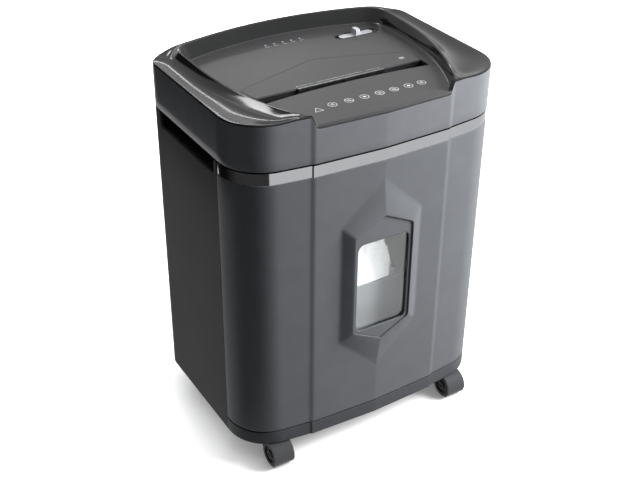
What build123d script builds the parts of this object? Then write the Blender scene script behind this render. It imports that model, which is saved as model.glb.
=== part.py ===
from build123d import *
from math import acos, atan2, cos, pi, radians, sin, sqrt, tan
import os

os.makedirs("parts", exist_ok=True)

# ---------------------------------------------------------------- overall form (mm)
width = 366.0  # across the straight side walls
depth = 275.0  # from the prow ridge to the crown of the bowed back
window_proud = 6.5  # how far the window surround stands in front of the prow ridge
crease_x = 94.0  # half spacing of the two upright creases of the front
prow_rake = 4.0  # the creases lie this far behind the ridge
crease_step = 1.5  # the middle of the front stands this proud of the corners
corner_rake = 0.13  # slope in plan of the front outside the creases
front_corner_r = 55.0
rear_corner_r = 25.0
back_bow = 28.0  # the corners of the back lie this far in front of its crown
seam_setback = 69.0  # split between pull-out front and side panel, behind the ridge
wall = 3.0
fit = 0.3  # gap left between pieces that are set together
seam = 0.6  # open line between the outer panels

# ---------------------------------------------------------------- heights
plinth_z = 35.0
plinth_h = 18.0
panel_h = 358.0
band_h = 14.5
head_line = 1.5  # dark line under the head
head_h = 48.0
edge_rise = 10.0  # outer edge of the top above the deck
crest_front_rise = 12.0
crest_back_rise = 18.0
line_gap = 1.0
floor_t = 4.0
flange_w = 32.0  # side panel flanges behind the back panel
ledge_w = 6.0  # ledges that carry the cutter bed
ledge_h = 4.0

# ---------------------------------------------------------------- deck, throat and controls
deck_t = 4.0
deck_front_half = 91.0  # half width of the recessed deck where it meets the front
deck_side_gap = 43.0  # from the outer side wall to the deck where it is widest
deck_wide_setback = 178.0  # where the deck reaches its full width
deck_back_gap = 14.0  # from the rear edge of the deck to the crown of the back
deck_bow = 25.0
deck_corner_r = 22.0
recess_lean = 8.0  # the wall round the deck leans out by this much
crest_w = 3.0
crest_skirt = 15.0
throat_end_gap = 3.5  # from the throat's ends to the side plates
throat_near = 88.0  # setbacks of the throat's near and far edges
throat_near_bow = 7.0
throat_far = 99.5
plate_t = 2.5
plate_lap = 5.0  # the throat plate reaches this far past the throat's ends
plate_side_setback = 127.0
plate_peak_setback = 167.0
lip_w = 120.0
lip_t = 2.4
lip_h = 6.0
lip_proud = 0.6
lip_bevel = 0.5
switch_side_gap = 46.0  # from the deck's side and rear edges to the switch
switch_back_gap = 48.0
slider_l = 50.0
slider_w = 12.0
slider_travel = 6.0
knob_r = 1.6
bezel_rim = 2.2
knob_l = 8.0
knob_h = 9.0
lens_r = 1.5
lens_pitch = 12.5
lens_count = 5
lens_x = -3.0
lens_back_gap = 26.0
lamp_board_margin = 4.0
lamp_board_d = 14.0
lens_foot = 2.0

# ---------------------------------------------------------------- window
window_half = 57.0
window_top_drop = 26.0  # heights on the front, measured down from the top of its panel
window_shoulder_drop = 78.0
window_foot_drop = 243.0
window_low_drop = 296.0
bezel_half = 42.0
bezel_top_drop = 70.0
bezel_shoulder_drop = 91.0
bezel_foot_drop = 230.0
bezel_low_drop = 252.0
shoulder_r = 8.0
frame_sink = 2.0
frame_t = 2.5
frame_edge = 1.0
pane_half = 37.0
pane_r = 9.0
pane_top_drop = 104.0
pane_low_drop = 231.0
pane_lap = 2.0
pane_t = 2.0

# ---------------------------------------------------------------- bin
carrier_t = 3.0
carrier_lift = 4.0  # underside of the carrier above the base tray
carrier_side_gap = 26.0  # from the outer side wall to the carrier, and to the bucket
tongue = 8.0
bin_back_gap = 37.0
bucket_side_gap = 33.0
bucket_front_setback = 20.0
bucket_t = 2.5
bucket_r = 18.0
bucket_front_drop = 182.0
bucket_back_drop = 87.0
bucket_slope = 95.0
bucket_back_gap = 4.0
runner_lip = 10.0  # runners stand this far above the carrier
runner_gap = 1.0
heap_drop = 197.0
heap_r = 74.0
heap_crown = 110.0
heap_sink = 15.0
heap_x = -5.0
band_sink = 0.8
band_t = 2.5
tongue_t = 2.0

# ---------------------------------------------------------------- cutter and drive
bed_drop = 20.0  # top of the cutter bed below the head
bed_t = 4.0
chute_gap = 1.5  # from the chute to the side plates
shaft_rise = 38.0  # cutter shafts above the bed
disc_r = 20.0
disc_bite = 2.0  # how far the two sets of discs overlap
disc_pitch = 8.0
disc_t = 3.4
disc_hub_r = 12.0
disc_teeth = 10
disc_notch = 2.2
tooth_low = 0.35  # where each tooth drops and rises again, as shares of the tooth spacing
tooth_high = 0.6
shaft_out = 1.0
core_r = 9.0
journal_r = 6.0
run_fit = 0.05
press_gap = 0.02
gear_room = 63.5  # from the inner faces of the two side plates to the outer side walls
side_plate_t = 3.0
side_plate_front = 24.0  # reach of the side plates in front of and behind the shafts
side_plate_top = 24.0
bush_r = 9.0
bush_flange_r = 11.5
bush_flange_t = 1.5
bush_step = 0.5
sync_module = 2.0
gear_w = 10.0
gear_gap = 3.0
drive_module = 1.5
drive_teeth = 30
small_teeth = 14
wheel_module = 1.25
wheel_teeth = 36
pinion_teeth = 12
wheel_w = 8.0
train_angle = -14.0
motor_angle = -5.0
backlash = 0.3
pin_r = 4.0
pin_head_r = 6.4
pinion_room = 2.0
motor_r = 26.0
motor_l = 98.0
motor_wall = 2.5
armature_r = 19.0
armature_gap = 10.0  # from the ends of the motor to its armature
rod_r = 4.0
rod_edge = 6.0  # rod centres from the edges of the side plates
comb_t = 3.4
comb_h = 10.0
guide_t = 2.0
guide_gap = 1.0  # guides end this far above the discs
guide_back = 1.0  # guides stand back from the throat's edges
bar_t = 3.0
pin_head_t = 1.5

# ---------------------------------------------------------------- grips, boards, small parts
grip_start = 76.0  # the side hand grips run from this setback to this gap from the back's crown
grip_back_gap = 54.0
grip_h = 21.0
grip_depth = 18.0
grip_wall = 2.0
grip_r = 6.0
post_r = 5.0
post_side_gap = 35.0
post_front_setback = 46.0
post_back_gap = 45.0
screw_r = 1.8
screw_head_r = 4.0
screw_head_t = 2.4
board_t = 1.6
gland_r = 7.0
gland_bore = 3.5
gland_flange_r = 10.0
gland_side_gap = 73.0
vent_count = 14
vent_w = 3.0
vent_h = 30.0
vent_pitch = 9.0
gland_below = 20.0  # gland centre below the cutter bed
interlock_x = 60.0
interlock_setback = 44.0
interlock_w = 20.0
interlock_h = 12.0
interlock_travel = 1.5
plunger_r = 2.0
plunger_out = 4.0
board_side_gap = 98.0
board_back_gap = 87.0
board_w = 96.0
board_d = 58.0
standoff_h = 6.0
standoff_r = 3.0
standoff_edge = 5.0
cap_r = 9.0  # the tall capacitor, the relay, the transformer and the plug row on the board
cap_h = 24.0
relay_w = 26.0
relay_d = 22.0
relay_h = 20.0
coil_w = 16.0
coil_d = 28.0
coil_h = 14.0
plug_w = 30.0
plug_d = 4.0
plug_h = 12.0
part_edge = 6.0
stem_w = 4.0  # stem under the switch slider
case_d = 16.0
case_h = 12.0
roof_t = 3.0
edge_bevel = 2.0

# ---------------------------------------------------------------- casters
wheel_r = 16.0
wheel_gap = 0.5
hood_t = 1.5
hood_half = 14.0
web_t = 4.0
tread_w = 11.4
axle_r = 3.0
hub_r = 7.8
trail = 10.0
collar_sink = 11.2
hood_cut_x = 32.0  # the hood is cut open below a line that runs this far forward and down
hood_cut_z = 37.0
dish_r = 11.5  # ring-shaped dish in the outer faces of the wheels
dish_inner_r = 5.8
dish_depth = 2.0
caster_side_gap = 45.3
caster_front_setback = 26.0
caster_back_gap = 59.0
stem_r = 4.0
stem_l = 14.0
collar_r = 7.0
socket_r = 7.5
socket_boss_r = 10.5
socket_roof = 1.5
socket_step = 1.0  # sockets and bosses start this far above the plinth's lower edge

# ---------------------------------------------------------------- worked out from the sizes above
half = width / 2
ridge_y = -(depth - window_proud) / 2
plinth_top = plinth_z + plinth_h
panel_z = plinth_top + line_gap
panel_top = panel_z + panel_h
band_top = panel_top + band_h
head_z = band_top + head_line
deck_z = head_z + head_h
edge_z = deck_z + edge_rise
bed_top = head_z - bed_drop
bed_z = bed_top - bed_t
shaft_z = bed_top + shaft_rise
shaft_gap = 2 * disc_r - disc_bite
slot_y = ridge_y + (throat_near + throat_far) / 2  # middle of the throat, over the cutter
front_shaft_y = slot_y - shaft_gap / 2
rear_shaft_y = slot_y + shaft_gap / 2
seam_y = ridge_y + seam_setback
crease_slope = prow_rake / crease_x
rear_panel_half = half - rear_corner_r
back_r = (half**2 + back_bow**2) / (2 * back_bow)  # radius of the bowed back
bucket_z = plinth_top + carrier_lift + carrier_t
carrier_z = plinth_top + carrier_lift
socket_z = plinth_z + socket_step
board_y = ridge_y + depth - board_back_gap
gland_z = bed_z - gland_below
gland_x = -(half - gland_side_gap)
board_x = -(half - board_side_gap)
deck_half = half - deck_side_gap
deck_back_setback = depth - deck_back_gap
bin_back_setback = depth - bin_back_gap
grip_end = depth - grip_back_gap
plate_x = half - gear_room
throat_w = 2 * (plate_x - throat_end_gap)
chute_w = 2 * (plate_x - chute_gap)
plate_half = throat_w / 2 + plate_lap
switch_x = deck_half - switch_side_gap
switch_setback = deck_back_setback - switch_back_gap
lens_setback = deck_back_setback - lens_back_gap
carrier_half = half - carrier_side_gap
bucket_half = half - bucket_side_gap
bucket_front_z = panel_top - bucket_front_drop
bucket_back_z = panel_top - bucket_back_drop
heap_z = panel_top - heap_drop
window_top = panel_top - window_top_drop
window_shoulder_top = panel_top - window_shoulder_drop
window_shoulder_low = panel_top - window_foot_drop
window_low = panel_top - window_low_drop
bezel_top = panel_top - bezel_top_drop
bezel_shoulder_top = panel_top - bezel_shoulder_drop
bezel_shoulder_low = panel_top - bezel_foot_drop
bezel_low = panel_top - bezel_low_drop
pane_high = panel_top - pane_top_drop
pane_low = panel_top - pane_low_drop
caster_x = half - caster_side_gap
caster_rear_setback = depth - caster_back_gap
caster_places = [
    ("front_left", -caster_x, ridge_y + caster_front_setback),
    ("front_right", caster_x, ridge_y + caster_front_setback),
    ("rear_left", -caster_x, ridge_y + caster_rear_setback),
    ("rear_right", caster_x, ridge_y + caster_rear_setback),
]
post_places = [
    (side * (half - gap), ridge_y + setback)
    for gap, setback in ((post_side_gap, post_front_setback), (post_back_gap, depth - post_back_gap))
    for side in (-1, 1)
]


# ================================================================ outlines shared by several pieces
def cabinet_plan(inset=0.0):
    """Plan of cabinet and head, drawn inset from the outer skin: prow, big front corners, bowed back."""
    side = half - inset
    step_x = crease_x + crease_step
    step_y = ridge_y + prow_rake + crease_step + inset
    corner_y = step_y + corner_rake * (side - step_x)
    back_y = ridge_y + depth - back_bow - inset
    right = [(crease_x, ridge_y + prow_rake + inset), (step_x, step_y), (side, corner_y), (side, back_y)]
    left = [(-x, y) for x, y in reversed(right)]
    with BuildSketch() as plan:
        with BuildLine():
            Polyline(*left, (0, ridge_y + inset), *right)
            ThreePointArc(right[-1], (0, ridge_y + depth - inset), left[0])
        make_face()
        for end, radius in ((-1, front_corner_r), (1, rear_corner_r)):
            corners = [v for v in plan.vertices() if abs(abs(v.X) - side) < 0.01 and v.Y * end > 0]
            fillet(corners, radius - inset)
    return plan.sketch


def shell_ring(outer_inset, thickness):
    """Wall in plan, thickness thick, whose outer face lies outer_inset inside the skin."""
    with BuildSketch() as ring:
        add(cabinet_plan(outer_inset))
        add(cabinet_plan(outer_inset + thickness), mode=Mode.SUBTRACT)
    return ring.sketch


def front_ring(outer_inset, thickness):
    """The part of such a wall that belongs to the pull-out front."""
    with BuildSketch() as ring:
        add(shell_ring(outer_inset, thickness))
        with Locations((0, seam_y - seam / 2)):
            Rectangle(width, depth, align=(Align.CENTER, Align.MAX), mode=Mode.INTERSECT)
    return ring.sketch


def deck_plan(grow=0.0):
    """Bell-shaped plan of the recessed deck, grown outward; it runs on past the front of the head."""
    mouth = deck_front_half + grow
    wide = deck_half + grow
    wide_y = ridge_y + deck_wide_setback
    back_y = ridge_y + deck_back_setback + grow
    corner_y = back_y - deck_bow
    start_y = ridge_y + prow_rake
    radius = ((wide - mouth) ** 2 + (wide_y - start_y) ** 2) / (2 * (wide - mouth))
    bend = 0.5 * atan2(wide_y - start_y, radius - (wide - mouth))
    mid = (wide - radius * (1 - cos(bend)), wide_y - radius * sin(bend))
    front_y = start_y - 2 * front_corner_r
    with BuildSketch() as plan:
        with BuildLine():
            Line((-mouth, front_y), (mouth, front_y))
            Line((mouth, front_y), (mouth, start_y))
            ThreePointArc((mouth, start_y), mid, (wide, wide_y))
            Line((wide, wide_y), (wide, corner_y))
            ThreePointArc((wide, corner_y), (0, back_y), (-wide, corner_y))
            Line((-wide, corner_y), (-wide, wide_y))
            ThreePointArc((-wide, wide_y), (-mid[0], mid[1]), (-mouth, start_y))
            Line((-mouth, start_y), (-mouth, front_y))
        make_face()
        rear = [v for v in plan.vertices() if abs(v.Y - corner_y) < 0.01]
        fillet(rear, deck_corner_r + grow)
    return plan.sketch


def throat_mouth(grow=0.0):
    """The paper throat seen from above: straight far edge, near edge bowed towards it."""
    end = throat_w / 2 + grow
    near = ridge_y + throat_near - grow
    far = ridge_y + throat_far + grow
    with BuildSketch() as mouth:
        with BuildLine():
            ThreePointArc((-end, near - throat_near_bow), (0, near), (end, near - throat_near_bow))
            Polyline(
                (end, near - throat_near_bow), (end, far), (-end, far), (-end, near - throat_near_bow)
            )
        make_face()
    return mouth.sketch


def throat_plate_plan(grow=0.0):
    """Chevron-backed plate behind the throat."""
    front = ridge_y + throat_far
    side_y = ridge_y + plate_side_setback
    peak = (0, ridge_y + plate_peak_setback + grow)
    with BuildSketch() as plan:
        with BuildLine():
            Polyline(
                (-throat_w / 2 - grow, front),
                (throat_w / 2 + grow, front),
                (plate_half + grow, side_y),
                peak,
                (-plate_half - grow, side_y),
                close=True,
            )
        make_face()
        fillet([v for v in plan.vertices() if abs(v.Y - side_y) < 0.01], 5 + grow)
        fillet([v for v in plan.vertices() if abs(v.X) < 0.01], 30 + grow)
    return plan.sketch


def window_hexagon(half_w, top, shoulder_top, shoulder_low, low, inset=0.0):
    """Upright hexagon of the window surround, pointed at top and bottom, its shoulders rounded."""
    right = [(half_w - inset, shoulder_top), (half_w - inset, shoulder_low)]
    with BuildSketch() as hexagon:
        with BuildLine():
            Polyline(
                (0, top - inset),
                *right,
                (0, low + inset),
                *[(-x, z) for x, z in reversed(right)],
                close=True,
            )
        make_face()
        fillet([v for v in hexagon.vertices() if abs(v.X) > half_w / 2], shoulder_r)
    return hexagon.sketch


def bezel_hexagon(inset=0.0):
    """The flat front of the window surround."""
    return window_hexagon(bezel_half, bezel_top, bezel_shoulder_top, bezel_shoulder_low, bezel_low, inset)


def pane_outline(grow=0.0):
    """The window opening, seen from the front."""
    with BuildSketch() as outline:
        with Locations((0, (pane_low + pane_high) / 2)):
            RectangleRounded(2 * (pane_half + grow), pane_high - pane_low + 2 * grow, pane_r + grow)
    return outline.sketch


def bucket_plan(inset=0.0):
    """Plan of the waste bucket."""
    length = bin_back_setback - bucket_front_setback - bucket_back_gap
    with BuildSketch() as plan:
        with Locations((0, ridge_y + bucket_front_setback + length / 2)):
            RectangleRounded(2 * (bucket_half - inset), length - 2 * inset, bucket_r - inset)
    return plan.sketch


def gear_plan(teeth, module, turn=0.0):
    """Spur gear outline with involute flanks, 20 degrees pressure angle, first tooth at turn degrees."""
    pitch_r = module * teeth / 2
    base_r = pitch_r * cos(radians(20))
    tip_r = pitch_r + module
    root_r = pitch_r - 1.25 * module
    flank = [max(base_r, root_r) + (tip_r - max(base_r, root_r)) * i / 3 for i in range(4)]
    spread = tan(radians(20)) - radians(20)

    def half_angle(r):
        press = acos(min(1.0, base_r / r))
        return pi / (2 * teeth) - backlash / (2 * pitch_r) + spread - (tan(press) - press)

    sides = [(root_r, half_angle(flank[0]))] + [(r, half_angle(r)) for r in flank]
    points = []
    for tooth in range(teeth):
        middle = radians(turn) + 2 * pi * tooth / teeth
        points += [(r * cos(middle - a), r * sin(middle - a)) for r, a in sides]
        points += [(r * cos(middle + a), r * sin(middle + a)) for r, a in reversed(sides)]
    with BuildSketch() as gear:
        with BuildLine():
            Polyline(*points, close=True)
        make_face()
    return gear.sketch


def mesh_turn(turn, teeth, next_teeth, direction):
    """Turn of a gear that meshes with one of the given turn, lying in the given direction from it."""
    return direction + 180 - 180 / next_teeth + (direction - turn) * teeth / next_teeth


def save(part, name):
    """Label a finished piece and write it."""
    part.label = name
    export_step(part, f"parts/{name}.step")


def back_planes():
    """Planes on the bowed back, facing outward, one for each back screw."""
    screw_x = rear_panel_half - flange_w / 2
    slope = sqrt(back_r**2 - screw_x**2)
    y = ridge_y + depth - back_r + slope
    heights = [plinth_top + flange_w, (plinth_top + bed_z) / 2, bed_z - flange_w]
    planes = []
    for side in (-1, 1):
        normal = (side * screw_x, slope, 0)
        planes += [Plane(origin=(side * screw_x, y, z), z_dir=normal) for z in heights]
    return planes


# ================================================================ cabinet
def grip_cut(side):
    """Hand opening in the top of a side panel, as a solid to be taken away."""
    with BuildPart() as cut:
        with BuildSketch(Plane.YZ.offset(side * half)):
            with Locations((ridge_y + (grip_start + grip_end) / 2, head_z)):
                RectangleRounded(grip_end - grip_start, 2 * grip_h, grip_r)
        extrude(amount=2 * wall, both=True)
    return cut.part


flange_reach = depth - bin_back_setback - runner_gap
for side, name in ((-1, "side_panel_left"), (1, "side_panel_right")):
    inner_edge = Align.MIN if side > 0 else Align.MAX
    with BuildPart() as side_panel:
        with BuildSketch(Plane.XY.offset(plinth_z)):
            add(shell_ring(0, wall))
            with Locations((side * half, seam_y + seam / 2)):
                Rectangle(2 * rear_corner_r, depth, align=(Align.CENTER, Align.MIN), mode=Mode.INTERSECT)
        extrude(amount=band_top - plinth_z)
        with BuildSketch(Plane.XY.offset(plinth_top + line_gap)):
            add(shell_ring(wall - fit, wall + 2 * fit))
            with Locations((side * rear_panel_half, ridge_y + depth)):
                Rectangle(
                    rear_corner_r, 2 * flange_reach, align=(inner_edge, Align.CENTER), mode=Mode.INTERSECT
                )
        extrude(amount=bed_z - plinth_top - ledge_h - 2 * line_gap)
        with BuildSketch(Plane.XY.offset(plinth_top + line_gap)):
            add(shell_ring(wall + fit, wall))
            with Locations((side * (rear_panel_half - flange_w / 2 + fit), ridge_y + depth)):
                Rectangle(flange_w + 2 * fit, 2 * flange_reach, mode=Mode.INTERSECT)
        extrude(amount=bed_z - plinth_top - ledge_h - 2 * line_gap)
        with BuildSketch(Plane.XY.offset(bed_z - ledge_h)):
            add(shell_ring(wall - fit, ledge_w))
            with Locations((side * half, seam_y + ledge_w)):
                Rectangle(2 * rear_corner_r, depth, align=(Align.CENTER, Align.MIN), mode=Mode.INTERSECT)
        extrude(amount=ledge_h)
        add(grip_cut(side), mode=Mode.SUBTRACT)
        for plane in back_planes():
            with BuildSketch(plane):
                Circle(screw_r + press_gap)
            extrude(amount=-3 * wall, mode=Mode.SUBTRACT)
    save(side_panel.part, name)

vent_z = (plinth_top + panel_top) / 2 + panel_h / 3
with BuildPart() as back_panel:
    with BuildSketch(Plane.XY.offset(plinth_z)):
        add(shell_ring(0, wall))
        with Locations((0, ridge_y + depth - back_bow)):
            Rectangle(2 * rear_panel_half - 2 * seam, 2 * depth / 3, mode=Mode.INTERSECT)
    extrude(amount=band_top - plinth_z)
    with BuildSketch(Plane.XZ):
        with Locations((0, vent_z)):
            with GridLocations(vent_pitch, 1, vent_count, 1):
                SlotOverall(vent_h, vent_w, rotation=90)
    extrude(amount=-depth, mode=Mode.SUBTRACT)
    with BuildSketch(Plane.XZ):
        with Locations((gland_x, gland_z)):
            Circle(gland_r + fit / 2)
    extrude(amount=-depth, mode=Mode.SUBTRACT)
    for plane in back_planes():
        with BuildSketch(plane):
            Circle(screw_r + fit)
        extrude(amount=-3 * wall, mode=Mode.SUBTRACT)
save(back_panel.part, "back_panel")

with BuildPart() as base_tray:
    with BuildSketch(Plane.XY.offset(plinth_z)):
        add(cabinet_plan())
        with Locations((0, seam_y - seam / 2)):
            Rectangle(width, depth, align=(Align.CENTER, Align.MAX), mode=Mode.INTERSECT)
        add(cabinet_plan(wall + fit))
    extrude(amount=plinth_h)
    with BuildSketch(Plane.XY.offset(plinth_z)):
        add(cabinet_plan(2 * wall + fit))
    extrude(amount=plinth_h - floor_t, mode=Mode.SUBTRACT)
    with BuildSketch(Plane.XY.offset(socket_z)):
        with Locations(*[(x, y) for _, x, y in caster_places]):
            Circle(socket_boss_r)
    extrude(amount=plinth_h - 2 * socket_step)
    with BuildSketch(Plane.XY.offset(plinth_z)):
        with Locations(*[(x, y) for _, x, y in caster_places]):
            Circle(socket_r + press_gap)
    extrude(amount=plinth_h - socket_roof, mode=Mode.SUBTRACT)
save(base_tray.part, "base_tray")

with BuildPart() as caster_sockets:
    with BuildSketch(Plane.XY.offset(socket_z)):
        with Locations(*[(x, y) for _, x, y in caster_places]):
            Circle(socket_r)
            Circle(stem_r + run_fit, mode=Mode.SUBTRACT)
    extrude(amount=plinth_top - socket_roof - socket_z)
save(caster_sockets.part, "caster_sockets")

runner_len = bin_back_setback - seam_setback - 2 * bucket_back_gap
with BuildPart() as bin_runners:
    with BuildSketch(Plane.XY.offset(plinth_top)):
        add(cabinet_plan(wall + fit))
        with Locations((0, (seam_y + ridge_y + bin_back_setback) / 2)):
            Rectangle(width, runner_len + 2 * runner_gap, mode=Mode.INTERSECT)
            Rectangle(2 * (carrier_half + runner_gap), width, mode=Mode.SUBTRACT)
    extrude(amount=carrier_lift + carrier_t + runner_lip)
    with BuildSketch(Plane.XY.offset(carrier_z - fit)):
        Rectangle(2 * (carrier_half + tongue + fit), 2 * depth)
    extrude(amount=carrier_t + 2 * fit, mode=Mode.SUBTRACT)
save(bin_runners.part, "bin_runners")

chute_y0 = front_shaft_y - disc_r
chute_y1 = rear_shaft_y + disc_r
with BuildPart() as cutter_bed:
    with BuildSketch(Plane.XY.offset(bed_z)):
        add(cabinet_plan(wall + fit))
        with Locations((0, seam_y + wall)):
            Rectangle(width, depth, align=(Align.CENTER, Align.MIN), mode=Mode.INTERSECT)
        add(cabinet_plan(3 * wall))
        with Locations((0, (chute_y0 + chute_y1) / 2)):
            Rectangle(chute_w, chute_y1 - chute_y0, mode=Mode.SUBTRACT)
        with Locations(*post_places):
            Circle(screw_r + fit, mode=Mode.SUBTRACT)
    extrude(amount=bed_t)
    with BuildSketch(Plane.XY.offset(bed_top)):
        with Locations((board_x, board_y)):
            with GridLocations(board_w - 2 * standoff_edge, board_d - 2 * standoff_edge, 2, 2):
                Circle(standoff_r)
    extrude(amount=standoff_h)
save(cutter_bed.part, "cutter_bed")

for side, name in ((-1, "grip_pocket_left"), (1, "grip_pocket_right")):
    grip_mid = ridge_y + (grip_start + grip_end) / 2
    inner_x = side * (half - grip_depth)
    skin_x = side * (half - wall - fit)
    with BuildPart() as grip_pocket:
        with BuildSketch(Plane.XY.offset(bed_top)):
            with Locations(((inner_x + skin_x) / 2, grip_mid)):
                Rectangle(abs(skin_x - inner_x), grip_end - grip_start + 2 * grip_wall)
        extrude(amount=head_z - bed_top + grip_wall)
        with BuildSketch(Plane.XY.offset(bed_top)):
            with Locations(((inner_x + skin_x) / 2 + side * grip_wall, grip_mid)):
                Rectangle(abs(skin_x - inner_x), grip_end - grip_start)
        extrude(amount=head_z - bed_top, mode=Mode.SUBTRACT)
    save(grip_pocket.part, name)

with BuildPart() as cord_gland:
    gland_plane = Plane.XZ.offset(-(ridge_y + depth - back_bow))
    with BuildSketch(gland_plane):
        with Locations((gland_x, gland_z)):
            Circle(gland_r)
    extrude(amount=-back_bow * 2 / 3 - wall)
    with BuildSketch(gland_plane):
        with Locations((gland_x, gland_z)):
            Circle(gland_flange_r)
    extrude(amount=-back_bow / 6)
    with BuildSketch(Plane.XZ):
        with Locations((gland_x, gland_z)):
            Circle(gland_bore)
    extrude(amount=-depth, mode=Mode.SUBTRACT)
save(cord_gland.part, "cord_gland")

with BuildPart() as back_screws:
    for plane in back_planes():
        with BuildSketch(plane.offset(press_gap)):
            Circle(screw_head_r)
            RegularPolygon(screw_head_r / 2, 6, mode=Mode.SUBTRACT)
        extrude(amount=screw_head_t)
        with BuildSketch(plane.offset(press_gap)):
            Circle(screw_head_r)
        extrude(amount=screw_head_t / 3)
        with BuildSketch(plane.offset(press_gap)):
            Circle(screw_r)
        extrude(amount=-2 * wall - fit - screw_head_t)
save(back_screws.part, "back_screws")

# ================================================================ pull-out bin
tongue_inset = band_sink + band_t + fit
run_out = crease_slope * window_half / window_proud
tab_y = ridge_y + interlock_setback - interlock_h / 2 - plunger_out - fit
tab_start = ridge_y + prow_rake
with BuildPart() as front_panel:
    with BuildSketch(Plane.XY.offset(panel_z)):
        add(front_ring(0, wall))
    extrude(amount=panel_h)
    with BuildSketch(Plane.XY.offset(panel_top - wall)):
        add(front_ring(wall - fit, tongue_inset + tongue_t - wall + fit))
    extrude(amount=wall)
    with BuildSketch(Plane.XY.offset(panel_top)):
        add(front_ring(tongue_inset, tongue_t))
    extrude(amount=band_h - line_gap)
    with BuildSketch(Plane.XZ.offset(-ridge_y - crease_slope * window_half)):
        add(
            window_hexagon(
                window_half,
                window_top + run_out * (window_top - bezel_top),
                window_shoulder_top,
                window_shoulder_low,
                window_low - run_out * (bezel_low - window_low),
            )
        )
    with BuildSketch(Plane.XZ.offset(window_proud - ridge_y)):
        add(bezel_hexagon())
    loft(ruled=True)
    with BuildSketch(Plane.XZ.offset(window_proud - ridge_y)):
        add(bezel_hexagon(frame_edge))
    extrude(amount=-frame_sink - frame_t, mode=Mode.SUBTRACT)
    with BuildSketch(Plane.XZ.offset(window_proud - ridge_y)):
        add(pane_outline(pane_lap + fit))
    extrude(amount=-window_proud - 3 * wall, mode=Mode.SUBTRACT)
    with BuildSketch(Plane.XZ.offset(-tab_y)):
        with Locations((interlock_x, bed_z - interlock_h / 2)):
            Rectangle(4 * plunger_r, 3 * plunger_r)
    extrude(amount=tab_y - tab_start)
save(front_panel.part, "front_panel")

with BuildPart() as front_band:
    with BuildSketch(Plane.XY.offset(panel_top)):
        add(front_ring(band_sink, band_t))
    extrude(amount=band_h)
save(front_band.part, "front_band")

frame_y = ridge_y - window_proud + frame_sink
with BuildPart() as window_frame:
    with BuildSketch(Plane.XZ.offset(-frame_y)):
        add(bezel_hexagon(frame_edge + press_gap))
        add(pane_outline(), mode=Mode.SUBTRACT)
    extrude(amount=-frame_t)
save(window_frame.part, "window_frame")

with BuildPart() as window_pane:
    with BuildSketch(Plane.XZ.offset(-frame_y - frame_t - press_gap)):
        add(pane_outline(pane_lap))
    extrude(amount=-pane_t)
save(window_pane.part, "window_pane")

with BuildPart() as bin_carrier:
    with BuildSketch(Plane.XY.offset(carrier_z)):
        add(cabinet_plan(wall))
        with Locations((0, ridge_y + bin_back_setback)):
            Rectangle(2 * carrier_half, 2 * depth, align=(Align.CENTER, Align.MAX), mode=Mode.INTERSECT)
        with Locations((0, (seam_y + ridge_y + bin_back_setback) / 2)):
            Rectangle(2 * (carrier_half + tongue), runner_len)
    extrude(amount=carrier_t)
save(bin_carrier.part, "bin_carrier")

bucket_front = ridge_y + bucket_front_setback
with BuildPart() as bin_bucket:
    with BuildSketch(Plane.XY.offset(bucket_z)):
        add(bucket_plan())
    extrude(amount=bucket_back_z - bucket_z)
    with BuildSketch(Plane.XY.offset(bucket_z + bucket_t)):
        add(bucket_plan(bucket_t))
    extrude(amount=bucket_back_z, mode=Mode.SUBTRACT)
    with BuildSketch(Plane.YZ):
        with BuildLine():
            Polyline(
                (bucket_front - fit, bucket_front_z),
                (bucket_front + bucket_r, bucket_front_z),
                (bucket_front + bucket_slope, bucket_back_z),
                (bucket_front - fit, bucket_back_z),
                close=True,
            )
        make_face()
    extrude(amount=width, both=True, mode=Mode.SUBTRACT)
save(bin_bucket.part, "bin_bucket")

heap_floor = bucket_z + bucket_t + fit
heap_base = heap_z - heap_sink
with BuildPart() as shred_heap:
    with BuildSketch(Plane.XZ.offset(-slot_y)):
        with BuildLine():
            Line((heap_x, heap_base), (heap_x + heap_r, heap_base))
            EllipticalCenterArc((heap_x, heap_base), heap_r, heap_crown, start_angle=0, arc_size=90)
            Line((heap_x, heap_base + heap_crown), (heap_x, heap_base))
        make_face()
    revolve(axis=Axis((heap_x, slot_y, 0), (0, 0, 1)))
    with BuildSketch(Plane.XY.offset(heap_base)):
        add(bucket_plan(bucket_t + fit))
    extrude(amount=2 * heap_crown, mode=Mode.INTERSECT)
    with BuildSketch(Plane.XY.offset(heap_floor)):
        add(bucket_plan(bucket_t + fit))
    extrude(amount=heap_z - heap_floor)
save(shred_heap.part, "shred_heap")

# ================================================================ head
crest_top = deck_z + 2 * crest_back_rise
tilt = (crest_back_rise - crest_front_rise) / depth
crest_plane = Plane(
    origin=(0, 0, deck_z + crest_front_rise - tilt * ridge_y), x_dir=(1, 0, 0), z_dir=(0, -tilt, 1)
)
with BuildPart() as crest:
    with BuildSketch(Plane.XY.offset(edge_z - roof_t)):
        add(deck_plan(recess_lean + crest_w + crest_skirt))
    with BuildSketch(crest_plane):
        add(deck_plan(recess_lean + crest_w))
    loft(ruled=True)
    with BuildSketch(Plane.XY.offset(head_z)):
        add(cabinet_plan(edge_bevel))
    extrude(amount=2 * head_h, mode=Mode.INTERSECT)

with BuildPart() as recess:
    with BuildSketch(Plane.XY.offset(deck_z)):
        add(deck_plan())
    with BuildSketch(Plane.XY.offset(crest_top)):
        add(deck_plan(recess_lean * (crest_top - deck_z) / crest_back_rise))
    loft(ruled=True)

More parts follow.
